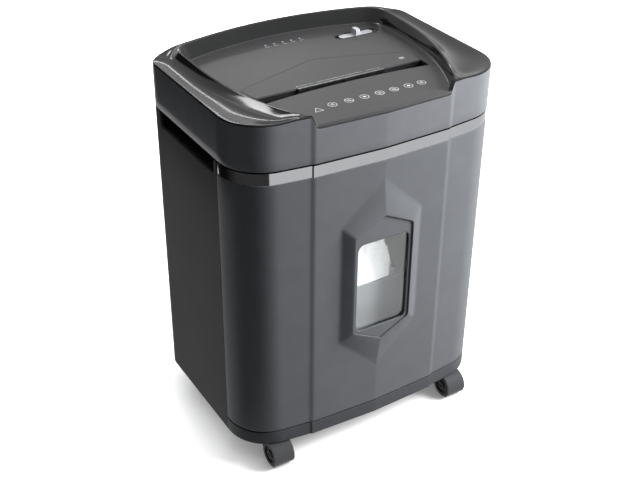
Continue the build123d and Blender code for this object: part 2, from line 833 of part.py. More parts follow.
with BuildPart() as head_cover:
    with BuildSketch(Plane.XY.offset(head_z)):
        add(cabinet_plan())
    extrude(amount=edge_z - head_z)
    chamfer(faces().sort_by(Axis.Z)[-1].edges(), edge_bevel)
    add(crest.part)
    with BuildSketch(Plane.XY.offset(head_z)):
        add(cabinet_plan(wall))
    extrude(amount=head_h - deck_t, mode=Mode.SUBTRACT)
    with BuildSketch(Plane.XY.offset(deck_z - deck_t)):
        add(cabinet_plan(wall))
        add(deck_plan(recess_lean + roof_t), mode=Mode.SUBTRACT)
        Rectangle(2 * (deck_half - deck_corner_r), 2 * depth, mode=Mode.SUBTRACT)
    extrude(amount=deck_t + edge_rise - roof_t, mode=Mode.SUBTRACT)
    with BuildSketch(Plane.XY.offset(bed_top + fit)):
        with Locations(*post_places):
            Circle(post_r)
    extrude(amount=edge_z - roof_t - bed_top)
    add(recess.part, mode=Mode.SUBTRACT)
    with BuildSketch(Plane.XY.offset(deck_z)):
        add(throat_plate_plan(fit))
    extrude(amount=-plate_t, mode=Mode.SUBTRACT)
    with BuildSketch(Plane.XY.offset(deck_z)):
        add(throat_mouth())
    extrude(amount=-2 * deck_t, mode=Mode.SUBTRACT)
    with BuildSketch(Plane.XY.offset(deck_z)):
        with Locations((switch_x, ridge_y + switch_setback)):
            SlotOverall(slider_l + 2 * slider_travel + 2 * bezel_rim + fit, slider_w + 2 * bezel_rim + fit)
        with Locations((lens_x, ridge_y + lens_setback)):
            with GridLocations(lens_pitch, 1, lens_count, 1):
                Circle(lens_r + press_gap)
    extrude(amount=-2 * deck_t, mode=Mode.SUBTRACT)
    with BuildSketch(Plane.XY.offset(bed_top)):
        with Locations(*post_places):
            Circle(screw_r + press_gap)
    extrude(amount=2 * post_r, mode=Mode.SUBTRACT)
save(head_cover.part, "head_cover")

with BuildPart() as cover_screws:
    with BuildSketch(Plane.XY.offset(bed_z)):
        with Locations(*post_places):
            Circle(screw_head_r)
    extrude(amount=-screw_head_t)
    with BuildSketch(Plane.XY.offset(bed_z)):
        with Locations(*post_places):
            Circle(screw_r)
    extrude(amount=bed_t + 1.5 * post_r)
save(cover_screws.part, "cover_screws")

with BuildPart() as throat_plate:
    with BuildSketch(Plane.XY.offset(deck_z - plate_t)):
        add(throat_plate_plan())
    extrude(amount=plate_t)
save(throat_plate.part, "throat_plate")

with BuildPart() as throat_lip:
    with BuildSketch(Plane.XY.offset(deck_z + lip_proud)):
        with Locations((0, ridge_y + throat_far - press_gap)):
            Rectangle(lip_w, lip_t, align=(Align.CENTER, Align.MAX))
    extrude(amount=-lip_h)
    chamfer(edges().filter_by(Axis.X).group_by(Axis.Z)[-1], lip_bevel)
save(throat_lip.part, "throat_lip")

slider_track = slider_l + 2 * slider_travel
stem_l_x = 2 * stem_w
with BuildPart() as switch_bezel:
    with BuildSketch(Plane.XY.offset(deck_z - deck_t)):
        with Locations((switch_x, ridge_y + switch_setback)):
            SlotOverall(slider_track + 2 * bezel_rim, slider_w + 2 * bezel_rim)
            SlotOverall(stem_l_x + 2 * slider_travel + 2 * stem_w, stem_w + 2 * fit, mode=Mode.SUBTRACT)
    extrude(amount=deck_t)
    with BuildSketch(Plane.XY.offset(deck_z)):
        with Locations((switch_x, ridge_y + switch_setback)):
            SlotOverall(slider_track + 2 * fit, slider_w + 2 * fit)
    extrude(amount=-deck_t / 2, mode=Mode.SUBTRACT)
save(switch_bezel.part, "switch_bezel")

slider_z = deck_z - deck_t / 2 + fit
with BuildPart() as switch_slider:
    with BuildSketch(Plane.XY.offset(slider_z)):
        with Locations((switch_x, ridge_y + switch_setback)):
            SlotOverall(slider_l, slider_w)
    extrude(amount=deck_t / 3)
    with BuildSketch(Plane.XY.offset(slider_z)):
        with Locations((switch_x, ridge_y + switch_setback)):
            RectangleRounded(knob_l, slider_w, knob_r)
    extrude(amount=knob_h, taper=5)
    with BuildSketch(Plane.XY.offset(slider_z)):
        with Locations((switch_x, ridge_y + switch_setback)):
            Rectangle(stem_l_x, stem_w)
    extrude(amount=-deck_t)
save(switch_slider.part, "switch_slider")

switch_case_top = deck_z - deck_t - fit
with BuildPart() as switch_case:
    with BuildSketch(Plane.XY.offset(switch_case_top)):
        with Locations((switch_x, ridge_y + switch_setback)):
            Rectangle(slider_l, case_d)
    extrude(amount=-case_h)
    with BuildSketch(Plane.XY.offset(switch_case_top)):
        with Locations((switch_x, ridge_y + switch_setback)):
            Rectangle(stem_l_x + 2 * slider_travel + 2 * fit, stem_w + 2 * fit)
    extrude(amount=-deck_t, mode=Mode.SUBTRACT)
save(switch_case.part, "switch_case")

with BuildPart() as indicator_lenses:
    with BuildSketch(Plane.XY.offset(deck_z + fit)):
        with Locations((lens_x, ridge_y + lens_setback)):
            with GridLocations(lens_pitch, 1, lens_count, 1):
                Circle(lens_r)
    extrude(amount=-deck_t - lens_foot)
save(indicator_lenses.part, "indicator_lenses")

lamp_board_z = deck_z - deck_t - lens_foot
with BuildPart() as indicator_board:
    with BuildSketch(Plane.XY.offset(lamp_board_z)):
        with Locations((lens_x, ridge_y + lens_setback)):
            Rectangle(lens_pitch * lens_count + 2 * lamp_board_margin, lamp_board_d)
    extrude(amount=-board_t)
save(indicator_board.part, "indicator_board")

with BuildPart() as control_board:
    with BuildSketch(Plane.XY.offset(bed_top + standoff_h)):
        with Locations((board_x, board_y)):
            Rectangle(board_w, board_d)
    extrude(amount=board_t)
save(control_board.part, "control_board")

board_left = board_x - board_w / 2
board_right = board_x + board_w / 2
board_back = board_y + board_d / 2
board_top = bed_top + standoff_h + board_t
with BuildPart() as board_parts:
    with BuildSketch(Plane.XY.offset(board_top)):
        with Locations((board_left + cap_r + 2 * part_edge, board_back - cap_r - part_edge)):
            Circle(cap_r)
    extrude(amount=cap_h)
    with BuildSketch(Plane.XY.offset(board_top)):
        with Locations((board_x, board_back - relay_d / 2 - part_edge)):
            Rectangle(relay_w, relay_d)
    extrude(amount=relay_h)
    with BuildSketch(Plane.XY.offset(board_top)):
        with Locations((board_right - coil_w / 2 - part_edge, board_y)):
            Rectangle(coil_w, coil_d)
    extrude(amount=coil_h)
    with BuildSketch(Plane.XY.offset(board_top)):
        with Locations((board_x - part_edge, board_y - board_d / 2 + plug_d + part_edge)):
            Rectangle(plug_w, plug_d)
    extrude(amount=plug_h)
save(board_parts.part, "board_parts")

# ================================================================ cutter and drive
plate_top = shaft_z + side_plate_top
plate_front = front_shaft_y - side_plate_front
idler_y = rear_shaft_y + drive_module * (drive_teeth + small_teeth) / 2 * cos(radians(train_angle))
idler_z = shaft_z + drive_module * (drive_teeth + small_teeth) / 2 * sin(radians(train_angle))
motor_y = idler_y + wheel_module * (wheel_teeth + pinion_teeth) / 2 * cos(radians(motor_angle))
motor_z = idler_z + wheel_module * (wheel_teeth + pinion_teeth) / 2 * sin(radians(motor_angle))
plate_ends = {"side_plate_left": rear_shaft_y + side_plate_front, "side_plate_right": motor_y + motor_r}
rod_places = [
    (y, z)
    for y in (plate_front + rod_edge, rear_shaft_y + side_plate_front - rod_edge)
    for z in (bed_top + rod_edge, plate_top - rod_edge)
]
for side, name in ((-1, "side_plate_left"), (1, "side_plate_right")):
    plate_back = plate_ends[name]
    with BuildPart() as side_plate:
        with BuildSketch(Plane.YZ.offset(side * (plate_x + side_plate_t / 2))):
            with Locations(((plate_front + plate_back) / 2, (bed_top + plate_top) / 2)):
                Rectangle(plate_back - plate_front, plate_top - bed_top)
            with Locations((front_shaft_y, shaft_z), (rear_shaft_y, shaft_z)):
                Circle(bush_r + press_gap, mode=Mode.SUBTRACT)
            if side > 0:
                with Locations((idler_y, idler_z)):
                    Circle(pin_r + press_gap, mode=Mode.SUBTRACT)
                with Locations((motor_y, motor_z)):
                    Circle(wheel_module * pinion_teeth / 2 + pinion_room, mode=Mode.SUBTRACT)
        extrude(amount=side_plate_t / 2, both=True)
    save(side_plate.part, name)

with BuildPart() as tie_rods:
    with BuildSketch(Plane.YZ):
        with Locations(*rod_places):
            Circle(rod_r)
    extrude(amount=plate_x - press_gap, both=True)
save(tie_rods.part, "tie_rods")

with BuildPart() as shaft_bushes:
    for side in (-1, 1):
        with BuildSketch(Plane.YZ.offset(side * (plate_x - bush_step))):
            with Locations((front_shaft_y, shaft_z), (rear_shaft_y, shaft_z)):
                Circle(bush_r)
        extrude(amount=side * (side_plate_t + bush_step))
        with BuildSketch(Plane.YZ.offset(side * (plate_x + side_plate_t))):
            with Locations((front_shaft_y, shaft_z), (rear_shaft_y, shaft_z)):
                Circle(bush_flange_r)
        extrude(amount=side * bush_flange_t)
    with BuildSketch(Plane.YZ):
        with Locations((front_shaft_y, shaft_z), (rear_shaft_y, shaft_z)):
            Circle(journal_r + run_fit)
    extrude(amount=width / 2, both=True, mode=Mode.SUBTRACT)
save(shaft_bushes.part, "shaft_bushes")

outer_face = plate_x + side_plate_t + bush_flange_t
sync_x = outer_face + gear_gap / 2
drive_x = sync_x + gear_w + gear_gap
wheel_x = drive_x + gear_w + gear_gap
shaft_end = {"front": sync_x + gear_w + shaft_out, "rear": drive_x + gear_w + shaft_out}
discs_each_side = int((plate_x - disc_pitch + disc_t / 2) / disc_pitch)
disc_count = {"front": 2 * discs_each_side + 1, "rear": 2 * discs_each_side}
for name, shaft_y in (("front", front_shaft_y), ("rear", rear_shaft_y)):
    with BuildPart() as cutter_shaft:
        with BuildSketch(Plane.YZ.offset(-(plate_x - shaft_out))):
            with Locations((shaft_y, shaft_z)):
                Circle(core_r)
        extrude(amount=2 * (plate_x - shaft_out))
        with BuildSketch(Plane.YZ.offset(-outer_face)):
            with Locations((shaft_y, shaft_z)):
                Circle(journal_r)
        extrude(amount=outer_face + shaft_end[name])
    save(cutter_shaft.part, f"cutter_shaft_{name}")

    disc_points = []
    for tooth in range(disc_teeth):
        at = 2 * pi * tooth / disc_teeth
        disc_points += [(disc_r * cos(at), disc_r * sin(at))]
        low = at + tooth_low * 2 * pi / disc_teeth
        disc_points += [((disc_r - disc_notch) * cos(low), (disc_r - disc_notch) * sin(low))]
        high = at + tooth_high * 2 * pi / disc_teeth
        disc_points += [(disc_r * cos(high), disc_r * sin(high))]
    disc_x = [disc_pitch * (i - (disc_count[name] - 1) / 2) for i in range(disc_count[name])]
    with BuildPart() as cutter_disc:
        with BuildSketch(Plane.YZ.offset(-disc_t / 2)):
            with BuildLine():
                Polyline(*disc_points, close=True)
            make_face()
            Circle(core_r + press_gap, mode=Mode.SUBTRACT)
        extrude(amount=disc_t)
        with BuildSketch(Plane.YZ.offset(disc_t / 2)):
            Circle(disc_hub_r)
            Circle(core_r + press_gap, mode=Mode.SUBTRACT)
        extrude(amount=disc_pitch - disc_t - press_gap)
    with BuildPart() as cutter_discs:
        with Locations(*[(x, shaft_y, shaft_z) for x in disc_x]):
            add(cutter_disc.part)
    save(cutter_discs.part, f"cutter_discs_{name}")

sync_teeth = round(shaft_gap / sync_module)
gear_turn = {"front": mesh_turn(0, sync_teeth, sync_teeth, 180), "rear": 0}
for name, shaft_y in (("front", front_shaft_y), ("rear", rear_shaft_y)):
    with BuildPart() as sync_gear:
        with BuildSketch(Plane.YZ.offset(sync_x)):
            with Locations((shaft_y, shaft_z)):
                add(gear_plan(sync_teeth, shaft_gap / sync_teeth, gear_turn[name]))
                Circle(journal_r + press_gap, mode=Mode.SUBTRACT)
        extrude(amount=gear_w)
    save(sync_gear.part, f"sync_gear_{name}")

with BuildPart() as drive_gear:
    with BuildSketch(Plane.YZ.offset(drive_x)):
        with Locations((rear_shaft_y, shaft_z)):
            add(gear_plan(drive_teeth, drive_module))
            Circle(journal_r + press_gap, mode=Mode.SUBTRACT)
    extrude(amount=gear_w)
save(drive_gear.part, "drive_gear")

with BuildPart() as idler_gear:
    with BuildSketch(Plane.YZ.offset(drive_x)):
        with Locations((idler_y, idler_z)):
            add(gear_plan(small_teeth, drive_module, mesh_turn(0, drive_teeth, small_teeth, train_angle)))
    extrude(amount=gear_w + gear_gap)
    with BuildSketch(Plane.YZ.offset(wheel_x)):
        with Locations((idler_y, idler_z)):
            add(gear_plan(wheel_teeth, wheel_module))
    extrude(amount=wheel_w)
    with BuildSketch(Plane.YZ):
        with Locations((idler_y, idler_z)):
            Circle(pin_r + run_fit)
    extrude(amount=half, mode=Mode.SUBTRACT)
save(idler_gear.part, "idler_gear")

with BuildPart() as idler_pin:
    with BuildSketch(Plane.YZ.offset(plate_x)):
        with Locations((idler_y, idler_z)):
            Circle(pin_r)
    extrude(amount=wheel_x + wheel_w + fit - plate_x)
    with BuildSketch(Plane.YZ.offset(wheel_x + wheel_w + fit)):
        with Locations((idler_y, idler_z)):
            Circle(pin_head_r)
    extrude(amount=pin_head_t)
    with BuildSketch(Plane.YZ.offset(plate_x + side_plate_t)):
        with Locations((idler_y, idler_z)):
            Circle(pin_head_r)
    extrude(amount=drive_x - fit - plate_x - side_plate_t)
save(idler_pin.part, "idler_pin")

with BuildPart() as motor_can:
    with BuildSketch(Plane.YZ.offset(plate_x - motor_l)):
        with Locations((motor_y, motor_z)):
            Circle(motor_r)
    extrude(amount=motor_l - press_gap)
    with BuildSketch(Plane.YZ.offset(plate_x - motor_l + motor_wall)):
        with Locations((motor_y, motor_z)):
            Circle(motor_r - motor_wall)
    extrude(amount=motor_l - 2 * motor_wall, mode=Mode.SUBTRACT)
    with BuildSketch(Plane.YZ.offset(plate_x - motor_l)):
        with Locations((motor_y, motor_z)):
            Circle(pin_r + run_fit)
    extrude(amount=motor_l, mode=Mode.SUBTRACT)
save(motor_can.part, "motor_can")

with BuildPart() as motor_rotor:
    with BuildSketch(Plane.YZ.offset(plate_x - motor_l + shaft_out)):
        with Locations((motor_y, motor_z)):
            Circle(pin_r)
    extrude(amount=wheel_x + wheel_w - plate_x + motor_l)
    with BuildSketch(Plane.YZ.offset(plate_x - motor_l + armature_gap)):
        with Locations((motor_y, motor_z)):
            Circle(armature_r)
    extrude(amount=motor_l - 2 * armature_gap)
save(motor_rotor.part, "motor_rotor")

with BuildPart() as motor_pinion:
    with BuildSketch(Plane.YZ.offset(wheel_x)):
        with Locations((motor_y, motor_z)):
            add(gear_plan(pinion_teeth, wheel_module,
                          mesh_turn(0, wheel_teeth, pinion_teeth, motor_angle)))
            Circle(pin_r + press_gap, mode=Mode.SUBTRACT)
    extrude(amount=wheel_w)
save(motor_pinion.part, "motor_pinion")

with BuildPart() as stripper_combs:
    for name, shaft_y, out in (("front", front_shaft_y, -1), ("rear", rear_shaft_y, 1)):
        finger_root = shaft_y + out * (disc_r + guide_gap + bar_t / 2)
        with BuildSketch(Plane.XY.offset(shaft_z - comb_h / 2)):
            with Locations((0, finger_root)):
                Rectangle(2 * (plate_x - press_gap), bar_t)
        extrude(amount=comb_h)
        finger_tip = shaft_y + out * (disc_hub_r + fit)
        with BuildSketch(Plane.XY.offset(shaft_z - comb_h / 2)):
            with Locations((0, (finger_root + finger_tip) / 2)):
                with GridLocations(disc_pitch, 1, disc_count[name] - 1, 1):
                    Rectangle(comb_t, abs(finger_root - finger_tip))
        extrude(amount=comb_h)
save(stripper_combs.part, "stripper_combs")

guide_z = shaft_z + disc_r + guide_gap
with BuildPart() as entry_guides:
    for edge, out in ((ridge_y + throat_near, -1), (ridge_y + throat_far, 1)):
        with BuildSketch(Plane.XY.offset(guide_z)):
            with Locations((0, edge + out * (guide_back + guide_t / 2))):
                Rectangle(throat_w, guide_t)
        extrude(amount=deck_z - deck_t - fit - guide_z)
save(entry_guides.part, "entry_guides")

interlock_y = ridge_y + interlock_setback
interlock_front = interlock_y - interlock_h / 2
with BuildPart() as interlock_switch:
    with BuildSketch(Plane.XY.offset(bed_z - press_gap)):
        with Locations((interlock_x, interlock_y)):
            Rectangle(interlock_w, interlock_h)
    extrude(amount=-interlock_h)
    with BuildSketch(Plane.XZ.offset(-interlock_y)):
        with Locations((interlock_x, bed_z - interlock_h / 2)):
            Circle(plunger_r + run_fit)
    extrude(amount=interlock_h, mode=Mode.SUBTRACT)
save(interlock_switch.part, "interlock_switch")

with BuildPart() as interlock_plunger:
    with BuildSketch(Plane.XZ.offset(plunger_out - interlock_front)):
        with Locations((interlock_x, bed_z - interlock_h / 2)):
            Circle(plunger_r)
    extrude(amount=-(plunger_out + interlock_h / 2 - interlock_travel - fit))
save(interlock_plunger.part, "interlock_plunger")

# ================================================================ casters
axle_z = wheel_r
hood_r = wheel_r + wheel_gap + hood_t
collar_z = socket_z - fit
with BuildPart() as caster_hood:
    with BuildSketch(Plane.YZ):
        with Locations((-trail, axle_z)):
            Circle(hood_r)
            Circle(wheel_r + wheel_gap, mode=Mode.SUBTRACT)
            with BuildLine(mode=Mode.PRIVATE) as wedge:
                Polyline(
                    (0, 0),
                    (-hood_cut_x, -hood_cut_z),
                    (0, -2 * hood_cut_z),
                    (2 * hood_cut_x, -2 * hood_cut_z),
                    (2 * hood_cut_x, 2 * axle_r),
                    close=True,
                )
            add(make_face(wedge.line, mode=Mode.PRIVATE), mode=Mode.SUBTRACT)
    extrude(amount=hood_half, both=True)
    with BuildSketch(Plane.YZ):
        with Locations((-trail, axle_z)):
            Circle(wheel_r + wheel_gap + hood_t / 2)
            add(make_face(wedge.line, mode=Mode.PRIVATE), mode=Mode.SUBTRACT)
            Circle(hub_r)
            Circle(axle_r + run_fit, mode=Mode.SUBTRACT)
    extrude(amount=web_t / 2, both=True)
    with BuildSketch(Plane.XY.offset(collar_z)):
        Circle(collar_r)
    extrude(amount=-(collar_z - axle_z - collar_sink))
    with BuildSketch(Plane.YZ.offset(web_t / 2)):
        with Locations((-trail, axle_z)):
            Circle(wheel_r + wheel_gap)
    extrude(amount=hood_half, mode=Mode.SUBTRACT)
    with BuildSketch(Plane.YZ.offset(-web_t / 2)):
        with Locations((-trail, axle_z)):
            Circle(wheel_r + wheel_gap)
    extrude(amount=-hood_half, mode=Mode.SUBTRACT)
    with BuildSketch(Plane.XY.offset(collar_z - socket_step)):
        Circle(stem_r)
    extrude(amount=stem_l)

with BuildPart() as caster_wheels:
    for side in (-1, 1):
        with BuildSketch(Plane.YZ.offset(side * (web_t / 2 + fit))):
            with Locations((-trail, axle_z)):
                Circle(wheel_r)
                Circle(axle_r + press_gap, mode=Mode.SUBTRACT)
        extrude(amount=side * tread_w)
        with BuildSketch(Plane.YZ.offset(side * (web_t / 2 + fit + tread_w))):
            with Locations((-trail, axle_z)):
                Circle(dish_r)
                Circle(dish_inner_r, mode=Mode.SUBTRACT)
        extrude(amount=-side * dish_depth, mode=Mode.SUBTRACT)
    with BuildSketch(Plane.YZ):
        with Locations((-trail, axle_z)):
            Circle(axle_r)
    extrude(amount=hood_half - dish_depth / 2, both=True)

for name, x, y in caster_places:
    with BuildPart() as placed_hood:
        with Locations((x, y, 0)):
            add(caster_hood.part)
    save(placed_hood.part, f"caster_hood_{name}")
    with BuildPart() as placed_wheels:
        with Locations((x, y, 0)):
            add(caster_wheels.part)
    save(placed_wheels.part, f"caster_wheels_{name}")
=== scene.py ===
import math
import random
from functools import cache

import bmesh
import bpy
import numpy as np
from mathutils import Matrix, Vector, noise


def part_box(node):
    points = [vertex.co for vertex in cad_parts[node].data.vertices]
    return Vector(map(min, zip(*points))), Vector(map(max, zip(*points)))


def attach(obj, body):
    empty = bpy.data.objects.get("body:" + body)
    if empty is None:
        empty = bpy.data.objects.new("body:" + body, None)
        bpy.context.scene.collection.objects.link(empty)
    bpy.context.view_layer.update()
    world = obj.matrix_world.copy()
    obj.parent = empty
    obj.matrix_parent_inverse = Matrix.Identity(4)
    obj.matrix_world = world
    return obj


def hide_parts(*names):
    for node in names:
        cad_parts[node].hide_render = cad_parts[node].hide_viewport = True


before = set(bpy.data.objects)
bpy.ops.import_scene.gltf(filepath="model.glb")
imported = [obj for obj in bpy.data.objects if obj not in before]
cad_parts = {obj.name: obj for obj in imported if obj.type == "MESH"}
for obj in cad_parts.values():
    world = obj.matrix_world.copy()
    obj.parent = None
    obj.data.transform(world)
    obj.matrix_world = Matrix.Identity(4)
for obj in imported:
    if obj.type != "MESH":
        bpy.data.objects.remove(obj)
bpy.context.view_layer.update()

# ---- Camera: a long lens in front and to the left of the machine, looking down on it, with a very
# slight roll. It stands far enough away to keep the upright edges nearly parallel.
camera_place = (-0.64616, -1.03892, 0.99074)
yaw, pitch, roll = math.radians(31.67), math.radians(31.82), math.radians(-0.69)
camera_data = bpy.data.cameras.new("camera")
camera_data.sensor_width = 36.0
camera_data.lens = 60.96
camera_data.clip_start = 0.05
camera_data.clip_end = 50.0
camera = bpy.data.objects.new("camera", camera_data)
forward = Vector((math.sin(yaw) * math.cos(pitch), math.cos(yaw) * math.cos(pitch), -math.sin(pitch)))
level = Vector((math.cos(yaw), -math.sin(yaw), 0.0))
down = forward.cross(level)
right = level * math.cos(roll) + down * math.sin(roll)
turn = Matrix((right, (-forward).cross(right), -forward)).transposed()
camera.matrix_world = Matrix.Translation(camera_place) @ turn.to_4x4()
bpy.context.scene.collection.objects.link(camera)
bpy.context.scene.camera = camera

# ---- Studio: a seamless white floor under a white surround, with softboxes round it. The camera,
# and mirror and glass rays, see plain white; only the shadow of the machine darkens the floor, cast
# by the lamps and, close to the machine, painted.
scene = bpy.context.scene
scene.view_settings.view_transform = "Standard"


def new_material(name):
    """An empty node material: itself, its node tree and the socket of its surface."""
    material = bpy.data.materials.new(name)
    material.use_nodes = True
    material.node_tree.nodes.clear()
    output = material.node_tree.nodes.new("ShaderNodeOutputMaterial")
    return material, material.node_tree, output.inputs["Surface"]


def feed(tree, socket, value):
    """Gives an input a socket's value, or a plain number, colour or vector."""
    if isinstance(value, bpy.types.NodeSocket):
        tree.links.new(value, socket)
    else:
        socket.default_value = value


def add_node(tree, kind, **values):
    """A shader node of a kind, its inputs fed by name (underscores for spaces)."""
    node = tree.nodes.new("ShaderNode" + kind)
    for name, value in values.items():
        feed(tree, node.inputs[name.replace("_", " ")], value)
    return node


def add_math(tree, operation, *operands):
    """One maths node; each operand is a socket or a number."""
    node = add_node(tree, "Math")
    node.operation = operation
    for socket, value in zip(node.inputs, operands):
        feed(tree, socket, value)
    return node.outputs[0]


def add_vector_math(tree, operation, first, second):
    """One vector maths node on two sockets; gives the node's outputs."""
    node = add_node(tree, "VectorMath")
    node.operation = operation
    feed(tree, node.inputs[0], first)
    feed(tree, node.inputs[1], second)
    return node.outputs


def mix_shaders(tree, factor, first, second):
    """The first shader where the factor is 0, the second where it is 1."""
    node = add_node(tree, "MixShader", Fac=factor)
    feed(tree, node.inputs[1], first.outputs[0])
    feed(tree, node.inputs[2], second.outputs[0])
    return node


def grey(level):
    """An opaque neutral colour."""
    return (level, level, level, 1.0)


world = bpy.data.worlds.new("studio")
world.use_nodes = True
scene.world = world
sky_tree = world.node_tree
sky_tree.nodes.clear()
sky_ray = add_node(sky_tree, "LightPath").outputs
sky_fill = add_node(sky_tree, "Background", Color=(0.93, 0.96, 1.0, 1.0), Strength=0.14)
sky_white = add_node(sky_tree, "Background", Color=grey(1.0), Strength=1.0)
white_ray = add_math(sky_tree, "MAXIMUM", sky_ray["Is Camera Ray"], sky_ray["Is Transmission Ray"])
white_ray = add_math(sky_tree, "MAXIMUM", white_ray, sky_ray["Is Glossy Ray"])
add_node(sky_tree, "OutputWorld", Surface=mix_shaders(sky_tree, white_ray, sky_fill, sky_white).outputs[0])


def soft_light(name, place, aim, size, power):
    """A white rectangular softbox at place, pointed at aim."""
    data = bpy.data.lights.new(name, "AREA")
    data.shape = "RECTANGLE"
    data.size, data.size_y = size
    data.energy = power
    lamp = bpy.data.objects.new(name, data)
    lamp.location = place
    lamp.rotation_euler = (Vector(aim) - Vector(place)).to_track_quat("-Z", "Y").to_euler()
    scene.collection.objects.link(lamp)
    return lamp


key = soft_light("key_right", (0.85, -0.62, 0.80), (0.0, -0.1, 0.38), (0.6, 0.7), 36.0)
back_fill = soft_light("back_fill", (0.35, 1.5, 0.75), (0.0, 0.0, 0.25), (1.0, 0.8), 26.0)
for lamp in (key, back_fill):
    lamp.visible_glossy = False
soft_light("overhead", (0.45, 0.75, 1.9), (0.0, 0.0, 0.35), (1.4, 1.0), 5.0)
# Two small lamps behind the machine draw the highlights along the rim and the left shoulder.
left_strip = soft_light("left_strip", (-0.20, 0.85, 1.75), (-0.1, 0.0, 0.48), (0.5, 0.3), 9.0)
back_strip = soft_light("back_strip", (0.27, 1.55, 1.09), (0.0, 0.0, 0.45), (1.2, 0.06), 2.0)
for strip in (left_strip, back_strip):
    strip.visible_diffuse = False


def stage_piece(name, points, material):
    """Flat four-sided pieces of the studio as one object; points come four by four."""
    mesh = bpy.data.meshes.new(name)
    mesh.from_pydata(points, [], [range(i, i + 4) for i in range(0, len(points), 4)])
    mesh.materials.append(material)
    piece = bpy.data.objects.new(name, mesh)
    scene.collection.objects.link(piece)
    return piece


def upright_card(x, y_near, y_far, z_low, z_high):
    """The four corners of an upright card that faces the machine's side."""
    return [(x, y_near, z_low), (x, y_far, z_low), (x, y_far, z_high), (x, y_near, z_high)]


# Black cards stand left of the machine, out of sight, so that the left corner and the left side
# of the head have a dark sheen: a tall one beside the corner and a raised one beside the head.
card_material, card_tree, card_surface = new_material("dark_card")
feed(card_tree, card_surface, add_node(card_tree, "BsdfDiffuse", Color=grey(0.03)).outputs[0])
card_x = -0.24
card_points = upright_card(card_x, -0.7, -0.08, 0.001, 0.6) + upright_card(card_x, -0.08, 0.45, 0.35, 0.6)
dark_card = stage_piece("dark_card", card_points, card_material)
dark_card.visible_camera = False
dark_card.visible_diffuse = False
dark_card.visible_transmission = False
dark_card.visible_shadow = False

# The floor lights the machine as a grey one would and is mirrored as a white one. What is seen of
# it is its shade and a glow that ambient occlusion dims close to the machine: a painted contact shadow.
floor_material, floor_tree, floor_surface = new_material("studio_floor")
floor_ray = add_node(floor_tree, "LightPath").outputs
floor_near = add_node(floor_tree, "AmbientOcclusion", Distance=0.07)
floor_near.samples = 8
openness = add_math(floor_tree, "POWER", floor_near.outputs["AO"], 2.3)
glow_strength = add_math(floor_tree, "MULTIPLY_ADD", openness, 0.92, 0.08)
floor_glow = add_node(floor_tree, "Emission", Strength=glow_strength)
floor_shade = add_node(floor_tree, "BsdfDiffuse", Color=grey(0.80))
floor_seen = add_node(floor_tree, "AddShader")
floor_tree.links.new(floor_shade.outputs[0], floor_seen.inputs[0])
floor_tree.links.new(floor_glow.outputs[0], floor_seen.inputs[1])
floor_mix = add_node(floor_tree, "BsdfDiffuse", Color=grey(0.22))
floor_mirrored = add_node(floor_tree, "Emission", Strength=1.0)
for ray, shader in (
    ("Is Glossy Ray", floor_mirrored), ("Is Transmission Ray", floor_seen), ("Is Camera Ray", floor_seen)
):
    floor_mix = mix_shaders(floor_tree, floor_ray[ray], floor_mix, shader)
feed(floor_tree, floor_surface, floor_mix.outputs[0])
floor_reach = 9.0
floor_corners = [(x * floor_reach, y * floor_reach, 0.0) for x, y in ((-1, -1), (1, -1), (1, 1), (-1, 1))]
stage_piece("studio_floor", floor_corners, floor_material)

# ---- Cabinet shell: side and back panels injection moulded in black ABS with a fine spark-eroded
# grain, a little paler along their edges as wear and as a painted highlight, standing on a moulded
# base tray painted darker, as shade low on the machine, and held by screws.


def node_group(name, inputs, outputs):
    """An empty shader node group: inputs gives names and first values, outputs names.

    A triple of numbers makes a vector socket, and so does the output Normal; the rest are floats.
    """
    group = bpy.data.node_groups.new(name, "ShaderNodeTree")
    for socket, value in inputs.items():
        kind = "NodeSocketVector" if isinstance(value, tuple) else "NodeSocketFloat"
        group.interface.new_socket(socket, in_out="INPUT", socket_type=kind).default_value = value
    for socket in outputs:
        kind = "NodeSocketVector" if socket == "Normal" else "NodeSocketFloat"
        group.interface.new_socket(socket, in_out="OUTPUT", socket_type=kind)
    given = group.nodes.new("NodeGroupInput").outputs
    return group, given, group.nodes.new("NodeGroupOutput").inputs


def object_place(tree):
    """Where the shaded point is in its piece's own coordinates."""
    return add_node(tree, "TexCoord").outputs["Object"]


def add_noise(tree, vector, scale, detail=2.0, roughness=0.5):
    """One noise node, its scale a socket or a number; gives its factor."""
    node = add_node(tree, "TexNoise", Vector=vector, Scale=scale, Detail=detail, Roughness=roughness)
    return node.outputs["Fac"]


def add_bump(tree, height, strength, distance, normal=None):
    """The surface normal bent by a height, over a rounded normal where one is given."""
    node = add_node(tree, "Bump", Height=height, Strength=strength, Distance=distance)
    if normal:
        tree.links.new(normal, node.inputs["Normal"])
    return node.outputs["Normal"]


def make_grain_group():
    """Spark-eroded grain: a height, a roughness and a faint mottling of the tone."""
    group, given, result = node_group(
        "moulded_grain",
        {"Cells per metre": 1400.0, "Roughness": 0.5, "Roughness spread": 0.06},
        ("Height", "Roughness", "Mottle"),
    )
    place = object_place(group)
    cells = given["Cells per metre"]
    pebble = add_node(group, "TexVoronoi", Vector=place, Scale=cells)
    pebble_height = add_math(group, "MULTIPLY", pebble.outputs["Distance"], 0.6)
    rubbed = add_math(group, "SUBTRACT", add_noise(group, place, 9.0, 4.0, 0.55), 0.5)
    spread = add_math(group, "MULTIPLY", rubbed, given["Roughness spread"])
    roughness = add_math(group, "MULTIPLY_ADD", spread, 2.0, given["Roughness"])
    height = add_math(group, "ADD", add_noise(group, place, cells, 3.0, 0.6), pebble_height)
    feed(group, result["Height"], height)
    feed(group, result["Roughness"], roughness)
    feed(group, result["Mottle"], add_noise(group, place, 35.0, 5.0, 0.6))
    return group


